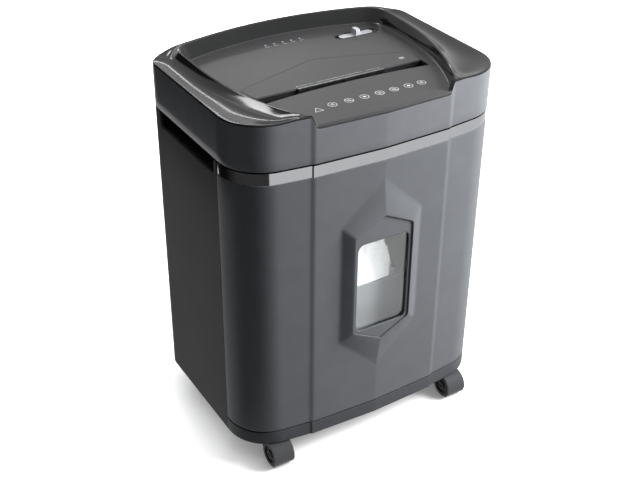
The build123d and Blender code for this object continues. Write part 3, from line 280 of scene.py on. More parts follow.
def make_edge_group():
    """Edges paled, partly as wear and partly as a painted highlight, and rounded: a mask that is 1 on sharp
    outer edges, and the rounded normal.
    """
    group, given, result = node_group("edge_wear_and_highlight", {"Radius": 0.0006, "Wear": 0.6}, ("Mask", "Normal"))
    bevel = add_node(group, "Bevel", Radius=given["Radius"])
    bevel.samples = 4
    flat = add_node(group, "NewGeometry").outputs["Normal"]
    agreement = add_vector_math(group, "DOT_PRODUCT", bevel.outputs["Normal"], flat)["Value"]
    bend = add_math(group, "MULTIPLY", add_math(group, "SUBTRACT", 1.0, agreement), 4.0)
    broken = add_math(group, "ADD", add_noise(group, object_place(group), 180.0, 3.0, 0.6), 0.25)
    mask = add_math(group, "MULTIPLY", add_math(group, "MINIMUM", bend, 1.0), broken)
    mask = add_math(group, "MULTIPLY", mask, given["Wear"])
    feed(group, result["Mask"], add_math(group, "MINIMUM", mask, 1.0))
    feed(group, result["Normal"], bevel.outputs["Normal"])
    return group


grain_group = make_grain_group()
edge_group = make_edge_group()


def place_group(tree, group, **values):
    """Puts a node group in a material and feeds its inputs by name."""
    node = add_node(tree, "Group")
    node.node_tree = group
    for name, value in values.items():
        feed(tree, node.inputs[name.replace("_", " ")], value)
    return node


def mix_colours(tree, factor, first, second):
    """Mixes two colours or colour sockets by a factor socket."""
    node = add_node(tree, "Mix")
    node.data_type = "RGBA"
    feed(tree, node.inputs["Factor"], factor)
    for socket, value in ((node.inputs["A"], first), (node.inputs["B"], second)):
        feed(tree, socket, value if isinstance(value, bpy.types.NodeSocket) else (*value, 1.0))
    return node.outputs["Result"]


def shade(tone, share, lift=0.0):
    """A tone made lighter or darker."""
    return tuple(c * share + lift for c in tone)


def moulded_plastic(name, tone, rough, specular, cells=1400.0, relief=0.00003, edge_tone=None, radius=0.0015,
                    soft_edges=True):
    """Grained plastic with a faint mottling, edges paled as wear and as a painted highlight, and an uneven
    satin gloss.
    """
    material, tree, surface = new_material(name)
    grain = place_group(tree, grain_group, Cells_per_metre=cells, Roughness=rough, Roughness_spread=0.05)
    edges = place_group(tree, edge_group, Radius=radius, Wear=0.5)
    # The sharp edges turn paler: partly wear, partly a painted highlight.
    wear_and_highlight_tone = edge_tone or shade(tone, 1.8, 0.01)
    base = mix_colours(tree, grain.outputs["Mottle"], shade(tone, 0.88), shade(tone, 1.12))
    shader = add_node(
        tree, "BsdfPrincipled",
        Base_Color=mix_colours(tree, edges.outputs["Mask"], base, wear_and_highlight_tone),
        Roughness=grain.outputs["Roughness"],
        Specular_IOR_Level=specular,
        Normal=add_bump(
            tree, grain.outputs["Height"], 0.5, relief, edges.outputs["Normal"] if soft_edges else None
        ),
    )
    feed(tree, surface, shader.outputs[0])
    return material


def dress(material, *nodes):
    """Gives CAD nodes their finish."""
    for node in nodes:
        for material_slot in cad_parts[node].material_slots:
            material_slot.material = material


side_plastic = moulded_plastic("side_plastic", (0.084, 0.084, 0.085), 0.6, 0.10)
dress(side_plastic, "side_panel_left", "side_panel_right", "back_panel")
# The base tray is painted darker than the panels above it: painted shade low on the machine.
plinth_shaded_plastic = moulded_plastic("plinth_shaded_plastic", (0.066, 0.068, 0.074), 0.48, 0.15)
dress(plinth_shaded_plastic, "base_tray")
inner_plastic = moulded_plastic("inner_plastic", (0.022, 0.022, 0.024), 0.6, 0.25)
dress(inner_plastic, "grip_pocket_left", "grip_pocket_right", "cutter_bed", "bin_runners", "bin_carrier",
      "entry_guides", "switch_case", "interlock_switch", "cord_gland")

# ---- Head cover: one moulding with a flat deck sunk between two dished shoulders. A crest runs
# round the deck from the front corners to the back, and the skirt below follows the cabinet. Its
# outside is satin, the rim and shoulders are polished, and the deck is matt. The rim and shoulders
# are also painted far darker than the outside of the same moulding: painted shade on its top.
head_plastic = moulded_plastic("head_plastic", (0.142, 0.147, 0.159), 0.25, 0.14, 1700.0, 0.000012)
# The polished rim and shoulders take a tone far darker than the outside: painted shade on the top.
head_top_gloss_and_shade = moulded_plastic("head_top_gloss_and_shade", (0.011, 0.0115, 0.012), 0.12, 0.28, 2600.0, 0.000001,
                             radius=0.0006, soft_edges=False)
deck_plastic = moulded_plastic("deck_plastic", (0.062, 0.062, 0.064), 0.36, 0.15, 1500.0, 0.000015)
dress(deck_plastic, "throat_plate")
head_low, head_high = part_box("head_cover")
half_width = head_high.x
ridge_y = head_low.y
back_y = head_high.y
crease_x = 0.094  # each front corner turns back at an upright crease this far from the middle
crease_rake = 0.004
crease_step = 0.0015
crease_soft = 0.003
corner_rake = 0.13
front_corner_r = 0.055
rear_corner_r = 0.025
back_bow = 0.028  # the back swells this far behind its rear corners
back_bow_start = 0.022
skirt_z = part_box("front_band")[1].z + 0.0022
deck_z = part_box("throat_plate")[1].z
edge_z = deck_z + 0.0095


def round_corner(before, corner, after, radius, steps=14):
    """Points of an arc of the given radius in the corner between two points."""
    a = (Vector(before) - Vector(corner)).normalized()
    b = (Vector(after) - Vector(corner)).normalized()
    half_angle = math.acos(max(-1.0, min(1.0, a.dot(b)))) / 2
    reach = radius / math.tan(half_angle)
    centre = Vector(corner) + (a + b).normalized() * (radius / math.sin(half_angle))
    start = Vector(corner) + a * reach - centre
    end = Vector(corner) + b * reach - centre
    sweep = start.angle_signed(end)
    return [
        (
            centre.x + start.x * math.cos(angle) + start.y * math.sin(angle),
            centre.y - start.x * math.sin(angle) + start.y * math.cos(angle),
        )
        for angle in (sweep * i / steps for i in range(steps + 1))
    ]


def soft_step(low, high, value):
    """Smooth step from 0 at low to 1 at high."""
    t = max(0.0, min(1.0, (value - low) / (high - low)))
    return t * t * (3 - 2 * t)


def bowed_end(half, sagitta, crown, start):
    """A shallow arc across the back, from start inwards to the middle, at y = crown there."""
    radius = (half**2 + sagitta**2) / (2 * sagitta)
    return [(x, crown - radius + math.sqrt(radius**2 - x**2)) for x in np.linspace(start, 0.0, 40)]


def cabinet_half(inset=0.0):
    """Right half of the cabinet's plan, from the prow ridge round to the crown of the back."""
    side = half_width - inset
    step_x = crease_x + crease_step
    step_y = ridge_y + crease_rake + crease_step + inset
    corner = (side, step_y + corner_rake * (side - step_x))
    rear = (side, back_y - back_bow - inset)
    bow = bowed_end(side, back_bow, back_y - inset, side - back_bow_start)
    front = [(0.0, ridge_y + inset)]
    for x in np.linspace(crease_x - crease_soft, step_x + crease_soft, 11).tolist():
        share = soft_step(crease_x - crease_soft, step_x + crease_soft, x)
        flat_y = ridge_y + inset + crease_rake * x / crease_x
        front.append((x, flat_y + (step_y + corner_rake * (x - step_x) - flat_y) * share))
    front_arc = round_corner(front[-1], corner, rear, front_corner_r - inset, 24)
    rear_arc = round_corner(corner, rear, bow[0], rear_corner_r - inset)
    return front + front_arc + rear_arc + bow


deck_front_half = 0.091
deck_half = 0.140
deck_wide_y = ridge_y + 0.178
deck_back_y = ridge_y + 0.261
deck_bow = 0.025
deck_corner_r = 0.022


def deck_half_plan(grow=0.0):
    """Right half of the sunk deck's plan, from its mouth at the front round to the back."""
    mouth = deck_front_half + grow
    wide = deck_half + grow
    start_y = ridge_y + crease_rake
    rise = deck_wide_y - start_y
    radius = ((wide - mouth) ** 2 + rise**2) / (2 * (wide - mouth))
    side = [
        (wide - radius + math.sqrt(radius**2 - (deck_wide_y - y) ** 2), y)
        for y in np.linspace(start_y - 0.02, deck_wide_y, 60)
    ]
    crown = deck_back_y + grow
    bow = bowed_end(wide, deck_bow, crown, wide - 0.03)
    return side + round_corner(side[-1], (wide, crown - deck_bow), bow[0], deck_corner_r + grow) + bow


hub = Vector((0.0, ridge_y + 0.150))


@cache
def plan_reach(half_plan, grow):
    """A half plan as a function: direction from the hub (-90 front to 90 back) to distance."""
    points = half_plan(grow)
    dense = []
    for (x0, y0), (x1, y1) in zip(points, points[1:]):
        count = max(1, int(math.hypot(x1 - x0, y1 - y0) / 0.002))
        dense += [(x0 + (x1 - x0) * i / count, y0 + (y1 - y0) * i / count) for i in range(count)]
    dense.append(points[-1])
    around = sorted((math.atan2(y - hub.y, x), math.hypot(x, y - hub.y)) for x, y in dense)
    angles = [a for a, _ in around]
    reach = [r for _, r in around]
    return lambda angle: float(np.interp(angle, angles, reach))


def outer_reach(angle, inset=0.0):
    """Distance from the hub to the cabinet's outline moved in by inset."""
    return plan_reach(cabinet_half, inset)(angle)


def deck_reach(angle, grow):
    """Distance from the hub to the deck's outline grown by grow."""
    return plan_reach(deck_half_plan, round(grow, 4))(angle)


# Rows of the head's surface from the deck outwards: (grow, lift) of the cove round the deck, shares
# of the inner wall's height, (grow, drop) over the crest, (inset, drop) over the outer edge and
# (inset, drop) of the fine groove under it.
rim_round = 0.0018
groove_h = 0.0015
cove_rows = ((-0.004, 0.0), (-0.0012, 0.0), (0.0, 0.0003), (0.0012, 0.0016))
wall_rows = (0.3, 0.55, 0.8, 0.95)
crest_rows = ((0.0004, 0.0006), (0.0013, 0.0), (0.0028, 0.0002))
rim_rows = ((0.001, 0.00025), (0.0004, 0.0008), (0.0, rim_round))
groove_rows = ((0.0, 0.0), (0.0010, 0.0001), (0.0017, 0.0004), (0.0017, 0.0012), (0.0, groove_h))
skirt_t = 0.003
skirt_turn = 0.020
skirt_steps = 5
edge_inset = 0.0017
deck_edge_inset = 0.0046
crest_lean = 0.008
lobe_steps = 22
lobe_dip = 0.0042
lip_r = 0.006  # the deck's insert laps over the front face, its lower corners rounded
lip_depth = 0.0035


def lip_drop(x):
    """How far the deck's insert hangs over the front face at x from the middle."""
    corner_in = max(0.0, min(1.0, (x - deck_front_half + lip_r) / lip_r))
    return rim_round + (lip_depth - rim_round) * math.sqrt(1 - corner_in**2)


def head_column(angle):
    """Points of the head's surface in one direction from the hub, from the deck out and down."""

    def point(reach, z):
        return (reach * math.cos(angle), reach * math.sin(angle) + hub.y, z)

    outer = outer_reach(angle)
    x_here = outer * math.cos(angle)
    front = angle < 0 and x_here < crease_x + 0.02
    # The crest and its walls sink away into the level deck at the open front.
    raised = soft_step(deck_front_half - 0.0005, deck_front_half + 0.007, x_here) if front else 1.0
    back_share = soft_step(0.0, 0.26, outer * math.sin(angle) + hub.y - ridge_y)
    crest_z = deck_z + 0.012 + 0.006 * back_share
    lean = crest_lean * (crest_z - deck_z) / 0.018
    rows = [(deck_reach(angle, grow), deck_z + lift) for grow, lift in cove_rows]
    rows += [(deck_reach(angle, lean * share), deck_z + (crest_z - deck_z) * share) for share in wall_rows]
    rows += [(deck_reach(angle, lean + grow), crest_z - drop) for grow, drop in crest_rows]
    end = outer_reach(angle, edge_inset)
    start = min(rows[-1][0], end)
    room = max(0.0, end - start)
    top = crest_z - crest_rows[-1][1]
    dip = lobe_dip * soft_step(0.004, 0.040, room)
    edge = edge_z + (top - edge_z) * soft_step(0.030, 0.004, room) * 0.75
    for i in range(1, lobe_steps + 1):
        v = 0.5 - 0.5 * math.cos(math.pi * i / lobe_steps)
        z = edge + (top - edge) * (1 - v) ** 2.6 - dip * math.sin(math.pi * v**0.75) ** 1.3
        rows.append((start + room * v, z))
    inner = outer_reach(angle, deck_edge_inset)
    points = []
    for i, (reach, z) in enumerate(rows):
        level = inner + (end - inner) * i / len(rows)
        limit = level if i < len(cove_rows) or raised < 1.0 else end
        points.append(point(level + (min(reach, limit) - level) * raised, deck_z + (z - deck_z) * raised))
    edge = deck_z + (edge - deck_z) * raised
    points += [point(outer_reach(angle, inset), edge - drop) for inset, drop in rim_rows]
    lip_z = edge - (lip_drop(x_here) if front else rim_round)
    cut = 1.0 - raised if x_here < deck_front_half else 0.0
    points += [point(outer - inset * cut, lip_z - drop) for inset, drop in groove_rows]
    groove_foot = lip_z - groove_h
    skirt_rise = skirt_z + 0.0005 - groove_foot
    points += [point(outer, groove_foot + skirt_rise * i / skirt_steps) for i in range(1, skirt_steps + 1)]
    for inset, z in ((0.0003, skirt_z), (skirt_t, skirt_z), (skirt_t, skirt_z + skirt_turn)):
        points.append(point(outer_reach(angle, inset), z))
    return points


def loop_edges(mesh, loop):
    """Edges of a closed loop of bmesh vertices."""
    made = []
    for a, b in zip(loop, loop[1:] + loop[:1]):
        made.append(mesh.edges.get((a, b)) or mesh.edges.new((a, b)))
    return made


def sink_hole(mesh, outline, top, depth, lip=0.0004):
    """A hole's edge loop at top with a small rounded lip and walls; gives the edges at the top."""
    centre = Vector((sum(p[0] for p in outline) / len(outline), sum(p[1] for p in outline) / len(outline)))
    rings = []
    for grow, z in ((lip, top), (lip * 0.3, top - lip * 0.3), (0.0, top - lip), (0.0, top - depth)):
        ring = []
        for i, (x, y) in enumerate(outline):
            before, after = Vector(outline[i - 1]), Vector(outline[(i + 1) % len(outline)])
            along = (after - before).normalized()
            out = Vector((along.y, -along.x))
            if out.dot(Vector((x, y)) - centre) < 0:
                out = -out
            ring.append(mesh.verts.new((x + out.x * grow, y + out.y * grow, z)))
        rings.append(ring)
    for upper, lower in zip(rings, rings[1:]):
        for i in range(len(outline)):
            j = (i + 1) % len(outline)
            mesh.faces.new((upper[i], upper[j], lower[j], lower[i]))
    return loop_edges(mesh, rings[0])


def finish_mesh(name, mesh, material, body, replaces=(), smooth=35.0):
    """Turns a bmesh into a piece: smooth shading with sharp edges, finish, body and slot."""
    bmesh.ops.remove_doubles(mesh, verts=mesh.verts, dist=0.000005)
    bmesh.ops.recalc_face_normals(mesh, faces=mesh.faces)
    for face in mesh.faces:
        face.smooth = True
    for edge in mesh.edges:
        if len(edge.link_faces) == 2 and edge.calc_face_angle(0.0) > math.radians(smooth):
            edge.smooth = False
    data = bpy.data.meshes.new(name)
    mesh.to_mesh(data)
    mesh.free()
    data.materials.append(material)
    piece = bpy.data.objects.new(name, data)
    scene.collection.objects.link(piece)
    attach(piece, body)
    if replaces:
        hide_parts(*replaces)
    return piece


head = bmesh.new()
turns = sorted(
    set(np.linspace(-math.pi / 2, math.pi / 2, 150).tolist())
    | {math.atan2(ridge_y + crease_rake + 0.001 - hub.y, x) for x in np.linspace(0.088, 0.115, 28)}
)
columns = [[head.verts.new(p) for p in head_column(a)] for a in turns]
columns += [[head.verts.new((-v.co.x, v.co.y, v.co.z)) for v in column] for column in reversed(columns[1:-1])]
for a, b in zip(columns, columns[1:] + columns[:1]):
    for i in range(len(a) - 1):
        head.faces.new((a[i], a[i + 1], b[i + 1], b[i]))
deck_edges = loop_edges(head, [column[0] for column in columns])

# The throat's hole in the deck: a slot with a bowed near edge that widens round the chevron plate.
throat_half = 0.116
throat_near_y = ridge_y + 0.088
throat_far_y = ridge_y + 0.0995
throat_near_bow = 0.007
hole_depth = 0.004
plate_gap = 0.0007
plate_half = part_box("throat_plate")[1].x + 0.0004
plate_side = (plate_half + plate_gap, ridge_y + 0.127)
plate_peak_y = ridge_y + 0.167
near_edge = [
    (x, throat_near_y - throat_near_bow * (x / throat_half) ** 2)
    for x in np.linspace(-throat_half, throat_half, 41).tolist()
]
right_far = round_corner((throat_half, throat_far_y), plate_side, (0.0, plate_peak_y), 0.005, 6)
left_far = [(-x, y) for x, y in reversed(right_far)]
peak_arc = round_corner(right_far[-1], (0.0, plate_peak_y + plate_gap), left_far[0], 0.030, 12)
throat_side = (throat_half + plate_gap, throat_far_y)
far_edge = [throat_side] + right_far + peak_arc + left_far + [(-throat_side[0], throat_far_y)]
deck_edges += sink_hole(head, near_edge + far_edge, deck_z, hole_depth)


def round_outline(x, y, radius, count=28, turn=0.0):
    """A circle or a regular polygon."""
    angles = [turn + math.tau * i / count for i in range(count)]
    return [(x + radius * math.cos(angle), y + radius * math.sin(angle)) for angle in angles]


def stadium(low, high, grow, steps=10):
    """Outline of a slot with round ends that fills a box, grown all round."""
    radius = (high.y - low.y) / 2 + grow
    y = (low.y + high.y) / 2
    ends = ((high.x + grow - radius, -math.pi / 2), (low.x - grow + radius, math.pi / 2))
    turns = [(x, start + math.pi * i / steps) for x, start in ends for i in range(steps + 1)]
    return [(x + radius * math.cos(angle), y + radius * math.sin(angle)) for x, angle in turns]


deck_edges += sink_hole(head, stadium(*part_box("switch_bezel"), 0.00015), deck_z, hole_depth, 0.0003)
lens_low, lens_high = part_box("indicator_lenses")
lens_r = (lens_high.y - lens_low.y) / 2
lens_y = (lens_low.y + lens_high.y) / 2
lens_xs = [lens_low.x + lens_r + (lens_high.x - lens_low.x - 2 * lens_r) * i / 4 for i in range(5)]
for lens_x in lens_xs:
    lens_hole = round_outline(lens_x, lens_y, lens_r + 0.0001, 20)
    deck_edges += sink_hole(head, lens_hole, deck_z, hole_depth, 0.0002)
bmesh.ops.triangle_fill(head, edges=deck_edges, use_beauty=True, normal=(0, 0, 1))
for face in head.faces:
    at = face.calc_center_median()
    reach = math.hypot(at.x, at.y - hub.y)
    turned = math.atan2(at.y - hub.y, abs(at.x))
    on_deck = at.z > deck_z - 0.005 and reach < deck_reach(turned, 0.0)
    lip_foot = deck_z - min(lip_depth + 0.0008, lip_drop(abs(at.x)) + 0.0011)
    on_lip = abs(at.x) < deck_front_half and at.y < ridge_y + 0.008 and at.z > lip_foot
    on_top = at.z > deck_z - 0.0005 and reach < outer_reach(turned) - 0.0001
    # Rim and shoulder faces take the darker polished finish, which carries painted shade.
    face.material_index = 1 if on_deck or on_lip else (2 if on_top else 0)
head_shell = finish_mesh("head_shell", head, head_plastic, "cabinet", ["head_cover"])
head_shell.data.materials.append(deck_plastic)
head_shell.data.materials.append(head_top_gloss_and_shade)
for polygon in head_shell.data.polygons:  # the level deck is shaded flat
    if polygon.normal.z > 0.99999:
        polygon.use_smooth = False

# ---- Front panel: one tall moulding that pulls out with the bin, creased beside the two front
# corners and drawn forward round the window into a six-sided boss with long facets and a flat rim.
cabinet_plastic = moulded_plastic("cabinet_plastic", (0.117, 0.122, 0.132), 0.42, 0.15)
dress(cabinet_plastic, "front_panel", "window_frame")
panel_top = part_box("front_band")[0].z
panel_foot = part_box("base_tray")[1].z + 0.0018
band_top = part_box("front_band")[1].z
panel_t = 0.003
seam_y = ridge_y + 0.0687
boss_proud = 0.0065
boss_round = 0.14  # the facets blend into each other over this share of their height
boss_blend = 0.045
boss_foot = (0.057, panel_top - 0.026, panel_top - 0.078, panel_top - 0.243, panel_top - 0.296)
boss_rim = (0.042, panel_top - 0.070, panel_top - 0.091, panel_top - 0.230, panel_top - 0.252)
boss_reach = boss_foot[0] + 0.004


def hexagon_sides(half_w, top, shoulder, foot, low):
    """The right-hand sides of an upright hexagon as pairs of a point and the outward normal."""
    points = [Vector((0.0, top)), Vector((half_w, shoulder)), Vector((half_w, foot)), Vector((0.0, low))]
    return [(a, Vector(((a - b).y, (b - a).x)).normalized()) for a, b in zip(points, points[1:])]


boss_sides = list(zip(hexagon_sides(*boss_foot), hexagon_sides(*boss_rim)))


def boss_share(x, z):
    """How far a point of the front is drawn forward: 0 outside the boss, 1 on its flat rim."""
    at = Vector((abs(x), z))
    shares = []
    for (foot, foot_out), (rim, rim_out) in boss_sides:
        inward = (foot - at).dot(foot_out)
        outward = (at - rim).dot(rim_out)
        shares.append(inward / max(1e-5, inward + outward) if inward > 0 else inward / 0.015)
    low = min(shares)
    value = low - boss_blend * math.log(sum(math.exp((low - s) / boss_blend) for s in shares))
    if value > 1 - boss_round:
        return 1.0 - max(0.0, 1 - value + boss_round) ** 2 / (4 * boss_round)
    if value < boss_round:
        return max(0.0, value + boss_round) ** 2 / (4 * boss_round)
    return value


def front_run(inset):
    """Right half of the plan of the pull-out front, from its ridge round to the side seam."""
    end = half_width - inset
    corner_end = ridge_y + 0.066
    return [
        p for p in cabinet_half(inset) if p[1] < seam_y and (p[0] < end - 1e-5 or p[1] < corner_end)
    ] + [(end, seam_y)]


def spread_points(points, near, far, limit):
    """The same line cut finer: points near apart up to x = limit, far apart beyond."""
    made = [points[0]]
    for (x0, y0), (x1, y1) in zip(points, points[1:]):
        step = near if x0 < limit else far
        count = max(1, math.ceil(math.hypot(x1 - x0, y1 - y0) / step))
        made += [(x0 + (x1 - x0) * i / count, y0 + (y1 - y0) * i / count) for i in range(1, count + 1)]
    return made


def add_strip(mesh, right_half, rows, thickness, boss=False):
    """A closed upright wall along a right-half line and its mirror image.

    Rows gives (z, pull towards the inside) pairs. With boss, it is drawn forward round the window.
    """
    line = [(-x, y) for x, y in reversed(right_half[1:])] + right_half
    outward = []
    for i in range(len(line)):
        ahead = Vector(line[min(i + 1, len(line) - 1)])
        along = (ahead - Vector(line[max(i - 1, 0)])).normalized()
        outward.append(Vector((along.y, -along.x)))
    back_rows = [(z, thickness) for z, _ in (rows[-1], *reversed(rows[1:-1]), rows[0])]
    rings = []
    for z, pull in rows + back_rows:
        ring = []
        for (x, y), out in zip(line, outward):
            share = boss_share(x, z) if boss and abs(x) < boss_reach else 0.0
            front_y = y + (ridge_y - boss_proud - y) * share
            ring.append(mesh.verts.new((x - out.x * pull, front_y - out.y * pull, z)))
        rings.append(ring)
    for a, b in zip(rings, rings[1:] + rings[:1]):
        for i in range(len(line) - 1):
            mesh.faces.new((a[i], a[i + 1], b[i + 1], b[i]))
    for end in (0, -1):
        mesh.faces.new([ring[end] for ring in rings])


def cut_out(piece, outline, near_y, far_y):
    """Cuts a hole with an (x, z) outline through a piece between two depths."""
    mesh = bmesh.new()
    near_face = [mesh.verts.new((x, near_y, z)) for x, z in outline]
    far_face = [mesh.verts.new((x, far_y, z)) for x, z in outline]
    mesh.faces.new(near_face)
    mesh.faces.new(list(reversed(far_face)))
    for i in range(len(outline)):
        j = (i + 1) % len(outline)
        mesh.faces.new((near_face[j], near_face[i], far_face[i], far_face[j]))
    bmesh.ops.recalc_face_normals(mesh, faces=mesh.faces)
    data = bpy.data.meshes.new("cutter")
    mesh.to_mesh(data)
    mesh.free()
    cutter = bpy.data.objects.new("cutter", data)
    scene.collection.objects.link(cutter)
    modifier = piece.modifiers.new("cut", "BOOLEAN")
    modifier.operation = "DIFFERENCE"
    modifier.solver = "EXACT"
    modifier.object = cutter
    bpy.context.view_layer.update()
    cut = bpy.data.meshes.new_from_object(piece.evaluated_get(bpy.context.evaluated_depsgraph_get()))
    piece.modifiers.clear()
    piece.data = cut
    bpy.data.objects.remove(cutter)


# The panel itself, then the ledge behind its top edge and the tongue that carries the glossy band.
panel_rows = [(panel_foot, 0.0008), (panel_foot + 0.0003, 0.0003), (panel_foot + 0.0010, 0.0)]
panel_rows += [(z, 0.0) for z in np.arange(panel_foot + 0.0025, panel_top - 0.0015, 0.0014).tolist()]
panel_rows += [(panel_top - 0.0010, 0.0), (panel_top - 0.0003, 0.0003), (panel_top, 0.0008)]
panel_mesh = bmesh.new()
add_strip(panel_mesh, spread_points(front_run(0.0), 0.0013, 0.003, 0.0645), panel_rows, panel_t, boss=True)
ledge_rows = [(panel_top - 0.003, 0.0), (panel_top - 0.0002, 0.0)]
add_strip(panel_mesh, spread_points(front_run(0.0029), 0.004, 0.004, 0.1), ledge_rows, 0.0027)
tongue_rows = [(panel_top - 0.0028, 0.0), (band_top - 0.001, 0.0)]
add_strip(panel_mesh, spread_points(front_run(0.0036), 0.004, 0.004, 0.1), tongue_rows, 0.002)
front_shell = finish_mesh("front_shell", panel_mesh, cabinet_plastic, "bin", ["front_panel"], smooth=32.0)

frame_low, frame_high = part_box("window_frame")
rim_inset = boss_rim[0] - frame_high.x
hole_corner_r = 0.008
hole_points = [
    (0.0, boss_rim[1] - rim_inset), (frame_high.x, boss_rim[2]), (frame_high.x, boss_rim[3]),
    (0.0, boss_rim[4] + rim_inset), (-frame_high.x, boss_rim[3]), (-frame_high.x, boss_rim[2]),
]
hole_outline = []
for i, corner in enumerate(hole_points):
    before, after = hole_points[i - 1], hole_points[(i + 1) % 6]
    hole_outline += [corner] if corner[0] == 0 else round_corner(before, corner, after, hole_corner_r, 8)
cut_out(front_shell, hole_outline, frame_low.y - 0.02, frame_high.y + 0.01)

# ---- Glossy band round the top of the front: a metallised strip behind a clear skin, slipped over
# the panel's tongue, with faint smears and a slight wave in it.
gloss_band, tree, surface = new_material("gloss_band")
place = object_place(tree)
smear = add_noise(tree, place, 22.0, 4.0, 0.6)
shader = add_node(
    tree, "BsdfPrincipled", Metallic=1.0,
    Base_Color=mix_colours(tree, smear, (0.40, 0.405, 0.42), (0.48, 0.485, 0.50)),
    Roughness=add_math(tree, "MULTIPLY_ADD", smear, 0.08, 0.05),
    Normal=add_bump(tree, add_noise(tree, place, 30.0, 1.0, 0.4), 0.15, 0.0008),
)
feed(tree, surface, shader.outputs[0])
dress(gloss_band, "front_band")

# ---- Window: a clear acrylic sheet held behind the surround, with faint smears on it. Light that
# falls through it on the heap is let past unbent.
pane_clear, tree, surface = new_material("pane_clear")
smear = add_noise(tree, object_place(tree), 18.0, 5.0, 0.65)
acrylic = add_node(
    tree, "BsdfPrincipled", Transmission_Weight=1.0, Metallic=0.0, IOR=1.49,
    Base_Color=(0.97, 0.98, 0.98, 1.0),
    Roughness=add_math(tree, "MULTIPLY_ADD", smear, 0.05, 0.005),
)
let_past = add_node(tree, "BsdfTransparent", Color=(0.95, 0.96, 0.96, 1.0))
pane_ray = add_node(tree, "LightPath").outputs
unbent = add_math(tree, "MAXIMUM", pane_ray["Is Shadow Ray"], pane_ray["Is Diffuse Ray"])
feed(tree, surface, mix_shaders(tree, unbent, acrylic, let_past).outputs[0])
dress(pane_clear, "window_pane")

# ---- Waste bucket: thin frosted polypropylene, hung in the bin carrier. What lies in it shows through
# as a soft grey shape, and it turns milky where it is seen at a slant.
bucket_frost, tree, surface = new_material("bucket_frost")
place = object_place(tree)
cloud = add_noise(tree, place, 14.0, 4.0, 0.6)
flow = add_noise(tree, place, 60.0, 3.0, 0.5)
frost = add_node(
    tree, "BsdfPrincipled",
    Base_Color=mix_colours(tree, cloud, (0.34, 0.36, 0.38), (0.46, 0.48, 0.50)),
    Roughness=add_math(tree, "MULTIPLY_ADD", flow, 0.15, 0.22),
    Normal=add_bump(tree, flow, 0.2, 0.0003),
)
let_past = add_node(tree, "BsdfTransparent", Color=(0.86, 0.88, 0.90, 1.0))
slant = add_node(tree, "LayerWeight", Blend=0.35).outputs["Facing"]
cover = add_math(tree, "MINIMUM", add_math(tree, "MULTIPLY_ADD", slant, 0.45, 0.50), 1.0)
feed(tree, surface, mix_shaders(tree, cover, let_past, frost).outputs[0])
dress(bucket_frost, "bin_bucket")

# ---- Heap of cut paper: a mound that follows the cone under the throat, its skin a crush of small
# cross-cut strips lying every way. Less paper falls on the right, where the heap drops away.
cut_paper, tree, surface = new_material("cut_paper")
place = object_place(tree)
patch = add_noise(tree, place, 130.0, 3.0, 0.6)
shader = add_node(
    tree, "BsdfPrincipled", Specular_IOR_Level=0.2,
    Base_Color=mix_colours(tree, patch, (0.80, 0.81, 0.83), (0.90, 0.90, 0.90)),
    Roughness=add_math(tree, "MULTIPLY_ADD", patch, 0.2, 0.7),
    Normal=add_bump(tree, add_noise(tree, place, 900.0, 3.0, 0.6), 0.3, 0.0001),
)
feed(tree, surface, shader.outputs[0])
heap_low, heap_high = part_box("shred_heap")
heap_gap = 0.001
heap_corner_r = 0.0155
heap_mid_y = (heap_low.y + heap_high.y) / 2
heap_half_x = heap_high.x - heap_gap
heap_half_y = (heap_high.y - heap_low.y) / 2 - heap_gap
mound_x = -0.005
mound_y = ridge_y + 0.09375
mound_r = 0.072
heap_shoulder = panel_top - 0.197
heap_settle = 0.0032
mound_rise = heap_high.z - heap_shoulder - 0.004
heap_sag = 0.090
sag_start, sag_end = 0.046, 0.064  # to the right of the mound's middle
strip_count = 2600
strip_half_breadth = 0.002
rng = random.Random(7)


def heap_height(x, y):
    """Height of the heap at a place in the bucket."""
    reach = min(1.0, math.hypot(x - mound_x, y - mound_y) / mound_r)
    mound = mound_rise * math.sqrt(max(0.0, 1 - reach**2))
    lumps = noise.noise(Vector((x, y, 0.0)) * 90.0) * 0.0022
    crumbs = noise.noise(Vector((x, y, 3.0)) * 260.0) * 0.0009
    sag = heap_sag * soft_step(sag_start, sag_end, x - mound_x)
    return heap_shoulder - heap_settle + mound + (lumps + crumbs) - sag


def in_bucket(x, y):
    """The same place pulled in where the bucket's upright corners are round."""
    across, along = abs(x), abs(y - heap_mid_y)
    dx = max(0.0, across - (heap_half_x - heap_corner_r))
    dy = max(0.0, along - (heap_half_y - heap_corner_r))
    over = math.hypot(dx, dy)
    pull = heap_corner_r / over if over > heap_corner_r else 1.0
    return (
        math.copysign(across - dx + dx * pull, x),
        heap_mid_y + math.copysign(along - dy + dy * pull, y - heap_mid_y),
    )


